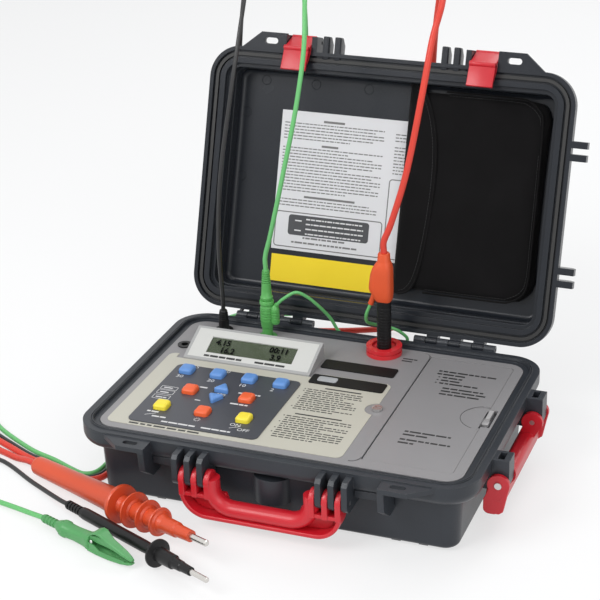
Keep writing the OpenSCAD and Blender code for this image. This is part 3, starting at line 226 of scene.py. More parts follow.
# Node helpers and shared effects
def feed(tree, node, inputs):
    """Gives each named input of a node a value, or joins it to another node's output."""
    for label, value in inputs.items():
        if isinstance(value, bpy.types.NodeSocket):
            tree.links.new(value, node.inputs[label])
        else:
            node.inputs[label].default_value = value


def add(tree, kind, inputs=(), **settings):
    """A new shader node with its settings and inputs."""
    node = tree.nodes.new("ShaderNode" + kind)
    for setting, value in settings.items():
        setattr(node, setting, value)
    feed(tree, node, dict(inputs))
    return node


def maths(tree, operation, *values):
    """The result of a sum on values or other nodes' outputs."""
    return add(tree, "Math", dict(enumerate(values)), operation=operation).outputs[0]


def effect(name, inputs, outputs):
    """An empty node group with its sockets; gives the group, its inputs and its output node."""
    group = bpy.data.node_groups.new(name, "ShaderNodeTree")
    for label, kind, value in inputs:
        socket = group.interface.new_socket(label, in_out="INPUT", socket_type="NodeSocket" + kind)
        socket.default_value = value
    for label, kind in outputs:
        group.interface.new_socket(label, in_out="OUTPUT", socket_type="NodeSocket" + kind)
    return group, group.nodes.new("NodeGroupInput").outputs, group.nodes.new("NodeGroupOutput")


def moulded_skin():
    """Fine moulded grain, faint cloudiness and paler dusty flecks of a plastic."""
    tree, given, out = effect(
        "moulded_skin",
        [("Color", "Color", (0.5, 0.5, 0.5, 1)), ("Grain Size", "Float", 900.0), ("Cloud", "Float", 0.08),
         ("Roughness", "Float", 0.5), ("Dust", "Float", 0.03)],
        [("Color", "Color"), ("Roughness", "Float"), ("Height", "Float")])
    place = add(tree, "TexCoord").outputs["Object"]
    grain = add(tree, "TexNoise", {"Vector": place, "Scale": given["Grain Size"], "Detail": 3}).outputs["Fac"]
    cloud = add(tree, "TexNoise", {"Vector": place, "Scale": 22, "Detail": 5}).outputs["Fac"]
    lift = maths(tree, "MULTIPLY_ADD", cloud, given["Cloud"], 0.96)
    tint = add(tree, "VectorMath", {0: given["Color"], "Scale": lift}, operation="SCALE")
    fleck = maths(tree, "MULTIPLY", grain, given["Dust"])
    dusty = add(tree, "Mix", {"Factor": fleck, "A": tint.outputs[0], "B": (0.6, 0.6, 0.6, 1)},
                data_type="RGBA")
    rough = maths(tree, "MULTIPLY_ADD", cloud, 0.16, given["Roughness"])
    feed(tree, out, {"Color": dusty.outputs["Result"], "Roughness": rough, "Height": grain})
    return tree


def woven_cloth():
    """Crossed threads of a nylon weave, with soft uneven shading."""
    tree, given, out = effect(
        "woven_cloth", [("Color", "Color", (0.02, 0.02, 0.02, 1)), ("Threads", "Float", 1400.0)],
        [("Color", "Color"), ("Height", "Float")])
    place = add(tree, "TexCoord").outputs["Object"]
    threads = [add(tree, "TexWave", {"Vector": place, "Scale": given["Threads"], "Distortion": 0.6},
                   bands_direction=axis).outputs["Fac"] for axis in ("X", "Z")]
    weave = maths(tree, "MULTIPLY", *threads)
    soft = add(tree, "TexNoise", {"Vector": place, "Scale": 18}).outputs["Fac"]
    total = maths(tree, "MULTIPLY_ADD", weave, 0.5, soft)
    tint = add(tree, "VectorMath", {0: given["Color"], "Scale": total}, operation="SCALE")
    feed(tree, out, {"Color": tint.outputs[0], "Height": weave})
    return tree


SKIN = moulded_skin()
WEAVE = woven_cloth()


def shader(name):
    material = bpy.data.materials.new(name)
    material.use_nodes = True
    tree = material.node_tree
    return material, tree, tree.nodes["Principled BSDF"]


def plastic(name, color, roughness=0.42, grain=900.0, bump=0.12, cloud=0.1, dust=0.02, edge=0.35, coat=0.0,
            specular=0.5):
    """Moulded plastic or rubber with grain and softened edges."""
    material, tree, surface = shader(name)
    skin = add(tree, "Group", node_tree=SKIN)
    feed(tree, skin, {"Color": (*color, 1), "Grain Size": grain, "Cloud": cloud, "Roughness": roughness - 0.08,
                      "Dust": dust})
    soft_edge = add(tree, "Bevel", {"Radius": edge * MM}, samples=4)
    relief = add(tree, "Bump", {"Strength": bump, "Distance": 0.0004, "Height": skin.outputs["Height"],
                                "Normal": soft_edge.outputs["Normal"]})
    feed(tree, surface, {"Base Color": skin.outputs["Color"], "Roughness": skin.outputs["Roughness"],
                         "Normal": relief.outputs["Normal"], "Specular IOR Level": specular,
                         "Coat Weight": coat, "Coat Roughness": 0.15})
    return material


def metal(name, color, roughness):
    """Turned metal with fine lines round the axis."""
    material, tree, surface = shader(name)
    place = add(tree, "TexCoord").outputs["Object"]
    stretch = add(tree, "Mapping", {"Vector": place, "Scale": (900, 900, 60)})
    turned = add(tree, "TexNoise", {"Vector": stretch.outputs[0], "Detail": 2}).outputs["Fac"]
    band = add(tree, "MapRange", {"Value": turned, "To Min": roughness - 0.08, "To Max": roughness + 0.12})
    relief = add(tree, "Bump", {"Strength": 0.1, "Distance": 0.0002, "Height": turned})
    feed(tree, surface, {"Roughness": band.outputs["Result"], "Normal": relief.outputs["Normal"],
                         "Base Color": (*color, 1), "Metallic": 1})
    return material


def cloth(name, color):
    material, tree, surface = shader(name)
    weave = add(tree, "Group", node_tree=WEAVE)
    feed(tree, weave, {"Color": (*color, 1)})
    relief = add(tree, "Bump", {"Strength": 0.35, "Distance": 0.0004, "Height": weave.outputs["Height"]})
    feed(tree, surface, {"Base Color": weave.outputs["Color"], "Normal": relief.outputs["Normal"],
                         "Roughness": 0.85, "Specular IOR Level": 0.15, "Sheen Weight": 0.06,
                         "Sheen Roughness": 0.4})
    return material


def clear(name, color, alpha, roughness=0.08):
    material, tree, surface = shader(name)
    feed(tree, surface, {"Base Color": (*color, 1), "Roughness": roughness, "Alpha": alpha, "Coat Weight": 0.3})
    return material


def ink(name, color):
    return plastic(name, color, 0.5, edge=0.05)


def key_rubber(name, color):
    return plastic(name, color, 0.4, 1200, 0.06, 0.08, 0.0, 0.7)


CASE = plastic("case_plastic", (0.024, 0.028, 0.035), 0.34, 1100, 0.16, 0.18, 0.02, 0.8, specular=0.34)
# The lid is the case's plastic painted darker: painted shade for the shade inside the open lid.
SHADED_LID_PLASTIC = plastic("lid_plastic_painted_shade", (0.0115, 0.0142, 0.0195), 0.24, 1100, 0.12, 0.18, 0.02, 0.8,
                   specular=0.25)
SEAL = plastic("seal_rubber", (0.006, 0.006, 0.006), 0.5, 700, 0.1, edge=0.4)
PANEL = plastic("panel_grey", (0.275, 0.267, 0.272), 0.4, 1300, 0.1, 0.06, 0.03, 0.5)
TRAY = plastic("tray_grey", (0.06, 0.06, 0.065), 0.5)
LABEL = plastic("label_film", (0.56, 0.54, 0.46), 0.38, 1500, 0.05, 0.05, 0.0, 0.1)
KEYPAD = plastic("keypad_film", (0.05, 0.053, 0.066), 0.36, 1500, 0.05, 0.08, 0.01, 0.2)
FRAME_GREY = plastic("display_frame", (0.40, 0.40, 0.395), 0.4, 1300, 0.08, edge=0.5)
FACE = plastic("display_face", (0.66, 0.66, 0.63), 0.35, 1500, 0.04, 0.04, 0.0, 0.2)
LCD = plastic("lcd_glass", (0.115, 0.15, 0.085), 0.12, 300, 0.02, 0.25, 0.0, 0.1, coat=0.8)
INK = ink("print_black", (0.012, 0.012, 0.012))
PALE_INK = ink("print_white", (0.7, 0.7, 0.7))
GREY_INK = ink("print_grey", (0.16, 0.16, 0.155))
DARK_PRINT = ink("print_slate", (0.045, 0.047, 0.052))
BLACK = plastic("black_plastic", (0.0065, 0.0065, 0.007), 0.34, 900, 0.08, 0.15, 0.01, 0.3, specular=0.28)
BARE_BLACK = plastic("plate_black", (0.006, 0.006, 0.006), 0.5, 1300, 0.05, 0.1, 0.0, 0.1, specular=0.2)
CATCH = plastic("catch_grey", (0.42, 0.41, 0.41), 0.42, 1000, 0.08, 0.1, 0.02, 0.3)
BLACK_LEAD = plastic("black_lead", (0.011, 0.011, 0.012), 0.38, 600, 0.08, 0.1, 0.02, 0.1)
RED = plastic("handle_red", (0.56, 0.007, 0.018), 0.36, 1000, 0.1, 0.12, 0.01, 0.9, coat=0.12)
PROBE_RED = plastic("probe_red", (0.66, 0.07, 0.016), 0.36, 900, 0.08, 0.14, 0.02, 0.5, coat=0.1)
RED_LEAD = plastic("red_lead", (0.70, 0.055, 0.034), 0.36, 700, 0.06, 0.1, 0.01, 0.1, specular=0.35)
BOOT = plastic("boot_orange", (0.74, 0.095, 0.026), 0.42, 900, 0.08, 0.12, 0.01, 0.6, specular=0.35)
COLLAR = plastic("collar_red", (0.72, 0.02, 0.028), 0.34, 1000, 0.08, 0.1, 0.0, 0.6, coat=0.15)
GREEN = plastic("green_plastic", (0.10, 0.41, 0.095), 0.38, 900, 0.08, 0.15, 0.02, 0.4)
GREEN_LEAD = plastic("green_lead", (0.14, 0.50, 0.16), 0.4, 700, 0.06, 0.1, 0.01, 0.1)
KEY_BLUE = key_rubber("key_blue", (0.12, 0.29, 0.66))
KEY_RED = key_rubber("key_orange", (0.88, 0.13, 0.035))
KEY_YELLOW = key_rubber("key_yellow", (0.95, 0.78, 0.05))
BOARD = plastic("circuit_board", (0.01, 0.10, 0.035), 0.4)
BATTERY = plastic("battery_wrap", (0.02, 0.18, 0.08), 0.3)
CARD = plastic("printed_card", (0.72, 0.72, 0.735), 0.45, 1500, 0.04, 0.05, 0.0, 0.1)
STICKER = plastic("yellow_sticker", (0.95, 0.70, 0.008), 0.45, 1500, 0.04, 0.06, 0.0, 0.1)
STEEL = metal("pin_steel", (0.62, 0.61, 0.6), 0.3)
PLATED = metal("tip_plated", (0.66, 0.64, 0.61), 0.24)
NYLON = cloth("pouch_nylon", (0.0072, 0.0066, 0.0072))
THREAD = plastic("thread_black", (0.03, 0.03, 0.031), 0.5, edge=0.1)
CLIP_GREEN = plastic("clip_green", (0.075, 0.31, 0.095), 0.4, 900, 0.08, 0.15, 0.02, 0.4)
SEGMENT = plastic("segment_black", (0.004, 0.005, 0.004), 0.7, edge=0.0, specular=0.03)
LENS = clear("port_lens", (0.7, 0.72, 0.74), 0.55)
WINDOW = clear("display_window", (0.16, 0.2, 0.13), 0.05, 0.12)

FINISH = {
    CASE: "base_shell", SHADED_LID_PLASTIC: "lid_shell", SEAL: "lid_seal",
    PANEL: "instrument_panel accessory_cover", TRAY: "accessory_tray",
    LABEL: "panel_label", KEYPAD: "keypad_plate", FRAME_GREY: "display_housing", FACE: "display_face",
    LCD: "lcd_module", WINDOW: "lcd_window", BOARD: "main_board", BATTERY: "battery_pack",
    BLACK: "hv_module charger_socket jack_guard plug_black plug_line probe_black",
    BARE_BLACK: "blank_plate port_plate", CATCH: "cover_latch",
    LENS: "optical_port", COLLAR: "jack_line", GREEN: "jack_earth adapter_green plug_green",
    CLIP_GREEN: "clip_frame clip_jaw",
    RED: "latch_left latch_right front_handle side_handle", PROBE_RED: "probe_red", BOOT: "boot_line",
    STEEL: "front_handle_pins side_handle_pins hinge_pins latch_pins quarter_turn", PLATED: "probe_tips",
    KEY_BLUE: "key_blue_1 key_blue_2 key_blue_3 key_blue_4 key_up key_down",
    KEY_RED: "key_orange_left key_orange_right key_orange_front",
    KEY_YELLOW: "key_yellow_left key_yellow_right",
    CARD: "card", STICKER: "sticker", NYLON: "pouch",
}

for material, names in FINISH.items():
    for node in names.split():
        mesh = nodes[node].data
        mesh.materials.clear()
        mesh.materials.append(material)

lead("guard_lead", BLACK_ROUTE, 3.6, BLACK_LEAD, "lead_black",
     0.12)
lead("earth_lead", GREEN_ROUTE, 4.0, GREEN_LEAD, "lead_green",
     0.14)
lead("line_lead", RED_ROUTE, 5.4, RED_LEAD, "lead_red", 0.16)
lead("link_lead", LINK_ROUTE, 2.8, GREEN_LEAD, "link_cord")


# Shape helpers, in millimetres
def face_out(bm):
    bmesh.ops.recalc_face_normals(bm, faces=bm.faces)


def corners(x, y, w, d):
    """The corners of a rectangle, counter-clockwise."""
    return [(x, y), (x + w, y), (x + w, y + d), (x, y + d)]


def eased(points, inset, radius, steps=5):
    """Points of a counter-clockwise convex outline moved inwards, its corners rounded."""
    points = [Vector(p) for p in points]
    result = []
    for i, b in enumerate(points):
        d1, d2 = (b - points[i - 1]).normalized(), (points[(i + 1) % len(points)] - b).normalized()
        n1, n2 = Vector((-d1.y, d1.x)), Vector((-d2.y, d2.x))
        centre = b + (n1 + n2) * ((inset + radius) / (1 + n1.dot(n2)))
        turn = math.atan2(d1.x * d2.y - d1.y * d2.x, d1.dot(d2))
        for k in range(steps + 1):
            a = turn * k / steps
            normal = Vector((n1.x * math.cos(a) - n1.y * math.sin(a), n1.x * math.sin(a) + n1.y * math.cos(a)))
            result.append(centre - normal * radius)
    return result


def arc_points(x, y, radius, first, last, steps=8):
    angles = [math.radians(first + (last - first) * k / steps) for k in range(steps + 1)]
    return [(x + radius * math.cos(a), y + radius * math.sin(a)) for a in angles]


def circle(middle, radius, sides=28):
    return arc_points(*middle, radius, 0, 360, sides)[:-1]


def skin_over(bm, sections):
    """Bridges rings of points, one after the other, into one closed solid."""
    rings = []
    for points in sections:
        ring = [bm.verts.new(p) for p in points]
        rings.append([bm.edges.new((ring[k], ring[(k + 1) % len(ring)])) for k in range(len(ring))])
    for a, b in zip(rings, rings[1:]):
        bmesh.ops.bridge_loops(bm, edges=a + b)
    for end in (rings[0], rings[-1]):
        bmesh.ops.contextual_create(bm, geom=end)
    face_out(bm)


def stack(bm, levels):
    """A closed solid through flat outlines at rising heights."""
    skin_over(bm, [[(p[0], p[1], z) for p in outline] for z, outline in levels])


def column(bm, middle, levels):
    """A round upright solid from (height, radius) levels."""
    stack(bm, [(z, circle(middle, r)) for z, r in levels])


def sweep(bm, path, section, y):
    """Carries an (along y, across) section along a path of (x, z) points."""
    sections = []
    for i, (x, z) in enumerate(path):
        (ax, az), (bx, bz) = path[max(i - 1, 0)], path[min(i + 1, len(path) - 1)]
        t = Vector((bx - ax, bz - az)).normalized()
        sections.append([(x - t.y * b, y + a, z + t.x * b) for a, b in section])
    skin_over(bm, sections)


def loft(bm, stations, corner, steps=5):
    """Cross-sections (x, middle z, width, height) with round corners, joined along X."""
    skin_over(bm, [[(x, p.x, mid + p.y) for p in
                    eased(corners(-w / 2, -h / 2, w, h), 0, corner * min(w, h) / 2, steps)]
                   for x, mid, w, h in stations])


def loft_wall(bm, line, offsets, thick):
    """An upright side wall: (x, low z, high z) points at y offsets."""
    skin_over(bm, [[(x, y + s * thick / 2, z) for s, z in ((-1, z0), (1, z0), (1, z1), (-1, z1))]
                   for (x, z0, z1), y in zip(line, offsets)])


def tube(bm, points, radius, sides=8):
    """A round tube along points, closed at both ends."""
    sections = []
    for i, p in enumerate(points):
        ahead = (points[min(i + 1, len(points) - 1)] - points[max(i - 1, 0)]).normalized()
        flat = Vector((0, 0, 1)) if abs(ahead.z) < 0.9 else Vector((1, 0, 0))
        side = ahead.cross(flat).normalized()
        up = side.cross(ahead)
        sections.append([p + radius * (math.cos(a) * side + math.sin(a) * up)
                         for a in (k * math.tau / sides for k in range(sides))])
    skin_over(bm, sections)


def turned(bm, profile, steps=40):
    """Spins (distance, radius) points round the X axis into a closed skin."""
    verts = [bm.verts.new((s, 0, r)) for s, r in profile]
    edges = [bm.edges.new(pair) for pair in zip(verts, verts[1:])]
    bmesh.ops.spin(bm, geom=verts + edges, cent=(0, 0, 0), axis=(1, 0, 0), angle=math.tau, steps=steps,
                   use_merge=True)
    bmesh.ops.remove_doubles(bm, verts=bm.verts, dist=0.01)
    face_out(bm)


def block(bm, size, middle):
    made = bmesh.ops.create_cube(bm, size=1)["verts"]
    bmesh.ops.scale(bm, verts=made, vec=size)
    bmesh.ops.translate(bm, verts=made, vec=middle)
    return made


def cone(bm, sides, low, high, depth, middle):
    """An upright cone or stem with its lower and upper radius."""
    made = bmesh.ops.create_cone(bm, segments=sides, radius1=low, radius2=high, depth=depth, cap_ends=True)
    bmesh.ops.translate(bm, verts=made["verts"], vec=middle)


def add_turned(bm, draft, rows):
    """Adds a draft to a shape, turned by the rows of a matrix."""
    draft.transform(Matrix((*rows, (0, 0, 0, 1))))
    mesh = mesh_from("draft", draft)
    bm.from_mesh(mesh)
    bpy.data.meshes.remove(mesh)


def slab(bm, outline, x0, x1, edge, radius=0.6):
    """A plate standing across X on a counter-clockwise (y, z) outline, its edges rounded."""
    draft = bmesh.new()
    steps = [(0, 1), (0.12, 0.55), (0.45, 0.15), (1, 0)]
    levels = [(x0 + edge * a, eased(outline, edge * b, radius)) for a, b in steps]
    levels += [(x1 - edge * a, eased(outline, edge * b, radius)) for a, b in reversed(steps)]
    stack(draft, levels)
    add_turned(bm, draft, ((0, 0, 1, 0), (1, 0, 0, 0), (0, 1, 0, 0)))


# Printed marks
class Marks:
    """Thin flat shapes of one ink at one height, gathered in millimetres and kept as one piece."""

    def __init__(self, z, place=Matrix.Identity(4), thick=0.08):
        self.bm = bmesh.new()
        self.z = z
        self.place = place
        self.thick = thick

    def bar(self, x, y, w, d):
        return block(self.bm, (w, d, self.thick), (x + w / 2, y + d / 2, self.z + self.thick / 2))

    def slant(self, x, y, length, d, angle):
        made = self.bar(0, -d / 2, length, d)
        bmesh.ops.rotate(self.bm, verts=made, cent=(0, 0, 0), matrix=turn(angle, "Z"))
        bmesh.ops.translate(self.bm, verts=made, vec=(x, y, 0))

    def frame(self, x, y, w, d, line, radius):
        """Outline of a rectangle with round corners."""
        top = self.z + self.thick
        rings = []
        for inset, h in ((0, self.z), (0, top), (line, top), (line, self.z)):
            outline = eased(corners(x, y, w, d), inset, radius - inset, 4)
            rings.append([self.bm.verts.new((*p, h)) for p in outline])
        for a, b in zip(rings, rings[1:] + rings[:1]):
            for k in range(len(a)):
                self.bm.faces.new((a[k - 1], a[k], b[k], b[k - 1]))

    def plate(self, x, y, w, d, radius):
        outline = eased(corners(x, y, w, d), 0, radius)
        stack(self.bm, [(self.z, outline), (self.z + self.thick, outline)])

    def line(self, x, y, width, size, chance, gap=1.0):
        """A row of bars of word lengths, where the real one has print."""
        end = x + width
        while x < end - size:
            w = min(chance.uniform(1.5, 6.2) * size / 1.2, end - x)
            self.bar(x, y, w, size)
            x += w + gap

    def text(self, word, x, y, size, squeeze=1.0, weight=0.0):
        """A plain number, sign or switch word, set from its lower left corner."""
        data = bpy.data.curves.new("word", "FONT")
        data.body = word
        data.size = size
        data.extrude = self.thick / 2
        data.offset = weight
        data.resolution_u = 3
        draft = shown("word", data)
        mesh = finished_mesh(draft)
        bpy.data.objects.remove(draft)
        place = Matrix.Translation((x, y, self.z + self.thick / 2))
        mesh.transform(place @ Matrix.Diagonal((squeeze, 1, 1, 1)))
        self.bm.from_mesh(mesh)
        bpy.data.meshes.remove(mesh)

    def keep(self, name, material, body="base", slot="black_plastic"):
        face_out(self.bm)
        piece = keep(name, self.bm, material, body, None, self.place)


LABEL_Z, PAD_Z, PANEL_Z, COVER_Z = 61.4, 62.2, 61.0, 60.7
CARD_Z, CARD_PLATE_Z = 0.4, 0.52
PAD_X, PAD_Y = -123.6, -85.3


def print_on_label():
    """Two headed blocks of print beside the keypad, and a row of small marks in front of it."""
    chance = random.Random(11)
    ink = Marks(LABEL_Z)
    row_pitch, letter, heading, dot = 3.35, 1.25, 1.7, 1.1
    for (x, y, w), top, width, cut, cut_rows, dotted_rows in (
            ((4, 9.6, 30), 5.2, 47, 14, (3, 8, 10), (0, 1, 4, 5, 9)),
            ((-4, -36.6, 38), -41.2, 53, 20, (2, 5, 10), (0, 3, 6, 8))):
        ink.bar(x, y, w, heading)
        for row in range(11):
            at = top - row_pitch * row
            short = (cut if row in cut_rows else 0) + (4 if -14 < at < -5 else 0)
            ink.line(-9, at, width - short, letter, chance)
            if row in dotted_rows:
                ink.bar(-11.6, at + 0.1, dot, dot)
    ink.line(-120, -89.3, 60, 2.0, chance, 1.6)
    ink.keep("label_print", INK)


def print_on_keypad():
    ink = Marks(PAD_Z)
    pitch, mid, top = 27, PAD_X + 52.2, PAD_Y + 89.5
    numeral = 6.2
    for k, (high, low) in enumerate((("15", "30"), ("10", "20"), ("5", "10"), ("1", "2"))):
        x = mid + (k - 1.5) * pitch
        ink.text(high, x + 1.0, top + 6.2, numeral)
        ink.text(low, x - 5.2, top - 12.4, numeral)
    for word, x, y, size in (("+", -8.6, 66.6, 8), ("500", -2.5, 57.4, 5.2), ("ON", 26.8, 14.6, 5.6),
                             ("OFF", 35.0, 8.6, 5.6)):
        ink.text(word, mid + x, PAD_Y + y, size)
    ink.bar(mid - 14.6, PAD_Y + 44.4, 4.6, 1.2)
    for x in (28.5, -42):
        ink.slant(mid + x, PAD_Y + 10.6, 9, 0.5, 32)
    # short marks where the real plate has words
    for x, y, w in ((-24.5, 65.4, 11.5), (13.5, 65.4, 18.5), (14, 47.2, 14.5), (-42.6, 16.4, 9.6),
                    (-35.6, 9.6, 11.6), (-25, 3.6, 30), (8, 3.6, 24)):
        ink.line(mid + x, PAD_Y + y, w, 1.9, random.Random(int(w * 7)), 0.7)
    # a small round sign of twelve strokes
    for k, (x, y) in enumerate(circle((mid, PAD_Y + 15.5), 1.43, 12)):
        ink.slant(x, y, 1.4, 0.35, 30 * k)
    for y, d in ((54.2, 5.6), (46.6, 6.6), (38.0, 6.6)):
        ink.frame(PAD_X + 3.4, PAD_Y + y, 14.2, d, 0.45, 0.8)
        ink.line(PAD_X + 6, PAD_Y + y + 2.2, 9, 1.5, random.Random(int(y)), 0.5)
    ink.keep("keypad_print", PALE_INK, "base", "white_face")


def print_on_display():
    ink = Marks(0, DISPLAY, 0.05)
    for x, w, seed in ((16.5, 33, 3), (61, 26, 5)):
        ink.line(x, 3.9, w, 2.1, random.Random(seed), 0.8)
    ink.keep("display_print", INK)
    digits = Marks(-0.26, DISPLAY, 0.05)
    for word, x, y in (("4.15", 21.5, 18.4), ("00:11", 68.5, 18.4), ("16.2", 27.5, 10.4), ("3.9", 71.5, 10.4)):
        digits.text(word, x, y, 8.2, squeeze=0.92, weight=0.25)
    digits.keep("display_digits", SEGMENT)


def print_on_card():
    """Columns of small print, two frames and a dark plate; inside the lid y runs the other way."""
    chance = random.Random(23)
    ink = Marks(CARD_Z, LID)
    top, row_pitch, letter, heading = 52.6, 2.62, 0.95, 1.9
    ink.bar(-62, top, 19, heading)
    for row in range(28):
        y = top - row_pitch * (row + 1)
        if row == 7:
            ink.bar(-62, y, 15, 1.8)
        elif row == 24:
            ink.bar(-74, y, 46, 1.8)
        elif row not in (6, 23):
            short = 30 if row in (5, 9, 14, 22) else 8 * (row % 3 == 1)
            ink.line(-97, y, 90 - short, letter, chance, 0.75)
    for row in range(13):
        if row != 3:
            ink.line(3, top - 4 - 2.75 * row, 12, letter, chance, 0.75)
    ink.frame(-98.4, -56.6, 97, 31, 0.9, 3)
    ink.frame(0.8, -56.6, 16, 68, 0.9, 3)
    ink.line(-72, -48, 40, 1.5, chance, 0.8)
    ink.line(-82, -52.4, 60, 1.5, chance, 0.8)
    ink.keep("card_print", GREY_INK, "lid")
    dark = Marks(CARD_Z, LID, 0.12)
    dark.plate(-86, -45.5, 73, 17.5, 2.5)
    dark.keep("card_plate", DARK_PRINT, "lid")
    pale = Marks(CARD_PLATE_Z, LID)
    for row in range(4):
        pale.line(-70, -31.6 - 4.2 * row, 52, 1.15, chance, 0.7)
    for y in (-33.4, -41.8):
        pale.bar(-80, y, 6, 1.1)
    pale.keep("card_plate_print", PALE_INK, "lid", "white_face")


def print_on_cover():
    """Lines of print on the accessory cover, and small ones on the panel beside it."""
    chance = random.Random(31)
    ink = Marks(COVER_Z)
    for x, y, w in ((80, 68.5, 47), (80, 63.5, 24), (86, 58.2, 16), (86, 53.2, 15), (86, 48.2, 34),
                    (91, 40.6, 33), (91, 35.6, 36), (91, 30.6, 32), (84, -36, 36), (84, -41, 22),
                    (84, -48.6, 39), (84, -53.6, 12)):
        ink.line(x, y, w, 2.1, chance, 1.1)
        if x == 86:
            ink.bar(82.4, y + 0.4, 1.4, 1.4)
    ink.keep("cover_print", INK, "accessory_cover")
    beside = Marks(PANEL_Z)
    for x, y, w in ((46, 80.5, 12), (46, 76.4, 10), (-96, 74.5, 9)):
        beside.line(x, y, w, 1.7, chance, 0.6)
    beside.keep("panel_print", INK)


print_on_label()
print_on_keypad()
print_on_display()
print_on_card()
print_on_cover()


# The pouch in the lid, drawn on the lid's floor
def stitches(bm, points, pitch=2.6, length=1.7, radius=0.16, lift=0.1):
    """Short raised stitches at an even pitch along points."""
    left = pitch
    for a, b in zip(points, points[1:]):
        step = b - a
        span, ahead, s = step.length, step.normalized(), 0.0
        while left <= span - s:
            s += left
            mid = a + s * ahead + Vector((0, 0, lift))
            tube(bm, [mid - ahead * length / 2, mid, mid + ahead * length / 2], radius, 5)
            left = pitch
        left -= span - s


def pillow(mesh, voxel, pressure, cap):
    """Blows the closed mesh up as cloth and keeps each point within cap of its start."""
    piece = shown("pouch_start", mesh)
    remesh = piece.modifiers.new("even_cells", "REMESH")
    remesh.mode = "VOXEL"
    remesh.voxel_size = voxel
    even = finished_mesh(piece)
    piece.modifiers.clear()
    piece.data = even
    start = [v.co.copy() for v in even.vertices]
    cloth_step = piece.modifiers.new("fill", "CLOTH")
    wear = cloth_step.settings
    wear.quality = 6
    wear.mass = 0.25
    wear.tension_stiffness = wear.compression_stiffness = 14
    wear.shear_stiffness = 6
    wear.bending_stiffness = 0.6
    wear.use_pressure = True
    wear.uniform_pressure_force = pressure
    wear.effector_weights.gravity = 0
    cloth_step.point_cache.frame_start = 1
    cloth_step.point_cache.frame_end = 20
    for frame_number in range(1, 21):
        bpy.context.scene.frame_set(frame_number)
    filled = finished_mesh(piece)
    for vertex, first in zip(filled.vertices, start):
        move = vertex.co - first
        if move.length > cap:
            vertex.co = first + move * (cap / move.length)
    piece.modifiers.clear()
    piece.data = filled
    bpy.context.scene.frame_set(1)
    result = piece.data
    bpy.data.objects.remove(piece)
    return result


POUCH_THICK, POUCH_FILL = 7.4, 0.3


def soft_pouch():
    """The pouch as a puffed closed bag with a few shallow folds."""
    bm = bmesh.new()
    outline = []
    for x, y, radius, first in ((118, 73, 18.5, 0), (16.5, 90, 1.5, 90), (16.5, -80.5, 1.5, 180),
                                (118, -63.5, 18.5, 270)):
        outline += arc_points(x, y, radius, first, first + 90)
    face = bm.faces.new([bm.verts.new((*p, 0)) for p in outline])
    made = bmesh.ops.extrude_face_region(bm, geom=[face])
    tops = [v for v in made["geom"] if isinstance(v, bmesh.types.BMVert)]
    bmesh.ops.translate(bm, verts=tops, vec=(0, 0, POUCH_THICK))
    bmesh.ops.bevel(bm, geom=[e for e in bm.edges if all(v in tops for v in e.verts)], offset=3,
                    offset_type="OFFSET", segments=3, profile=0.5, affect="EDGES", material=-1)
    face_out(bm)
    bm.transform(Matrix.Scale(MM, 4))
    mesh = pillow(mesh_from("pouch_flat", bm), voxel=0.004, pressure=4, cap=0.0028)
    draw = random.Random(7)
    folds = [(draw.uniform(40, 110), draw.uniform(30, 90), draw.uniform(0, 6), draw.uniform(0.1, 0.3))
             for _ in range(5)]
    for vertex in mesh.vertices:
        x, y, z = vertex.co / MM
        if z > 5:
            z += sum(h * math.sin(x / a * 3 + y / b * 3 + p) for a, b, p, h in folds)
        vertex.co = Vector((x, y, max(z, 0.25))) * MM
    mesh.transform(Matrix.Scale(MM, 4) @ LID @ Matrix.Scale(1 / MM, 4))
    body = shown("pouch_body", mesh)
    mesh.materials.append(NYLON)
    mesh.shade_smooth()
    smooth = body.modifiers.new("soft", "SUBSURF")
    smooth.levels = smooth.render_levels = 1
    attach(body, "lid")
    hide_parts("pouch")


FLAP_FOOT, FLAP_RISE, FLAP_STEPS = 12.7, 9.4, 10
FLAP_EDGE = [(20, 92.6), (28, 87), (34.5, 75), (39.5, 58), (42.8, 37), (43.6, 6), (40.8, -37), (36.4, -66),
             (30, -79.5), (21, -83.2)]


def flap_wave(y):
    """The flap's slow rise and fall along its edge."""
    return 0.35 * math.sin(y / 17.0)


def pouch_flap():
    """The flap over the pouch's mouth, with its binding and a row of stitches."""
    edge = route([(x, y, 0) for x, y in FLAP_EDGE], 6)
    bm = bmesh.new()
    rows = []
    for p in edge:
        row = []
        for t in (k / FLAP_STEPS for k in range(FLAP_STEPS + 1)):
            x = FLAP_FOOT + (p.x - FLAP_FOOT) * t
            rise = min(1.0, (x - FLAP_FOOT) / 5.0)
            z = 1.2 + FLAP_RISE * math.sin(rise * math.pi / 2) + flap_wave(p.y) * t
            row.append(bm.verts.new((x, p.y, z)))
        rows.append(row)
    for a, b in zip(rows, rows[1:]):
        for k in range(FLAP_STEPS):
            bm.faces.new((a[k], a[k + 1], b[k + 1], b[k]))
    face_out(bm)
    if sum(f.normal.z for f in bm.faces) < 0:
        bmesh.ops.reverse_faces(bm, faces=bm.faces)
    area = sum(f.calc_area() for f in bm.faces)
    bmesh.ops.solidify(bm, geom=bm.faces[:], thickness=1.1)
    face_out(bm)
    flap = keep("pouch_flap", bm, NYLON, "lid", 50, LID)
    bm = bmesh.new()
    tube(bm, [Vector((p.x - 0.3, p.y, 10.7 + flap_wave(p.y))) for p in edge], 0.75)
    binding = keep("pouch_flap_binding", bm, NYLON, "lid", 60, LID)
    bm = bmesh.new()
    stitches(bm, [Vector((p.x - 3.4, p.y * 0.975, 10.65 + flap_wave(p.y))) for p in edge[2:-2]])
    sewn = keep("pouch_flap_stitches", bm, THREAD, "lid", 60, LID)


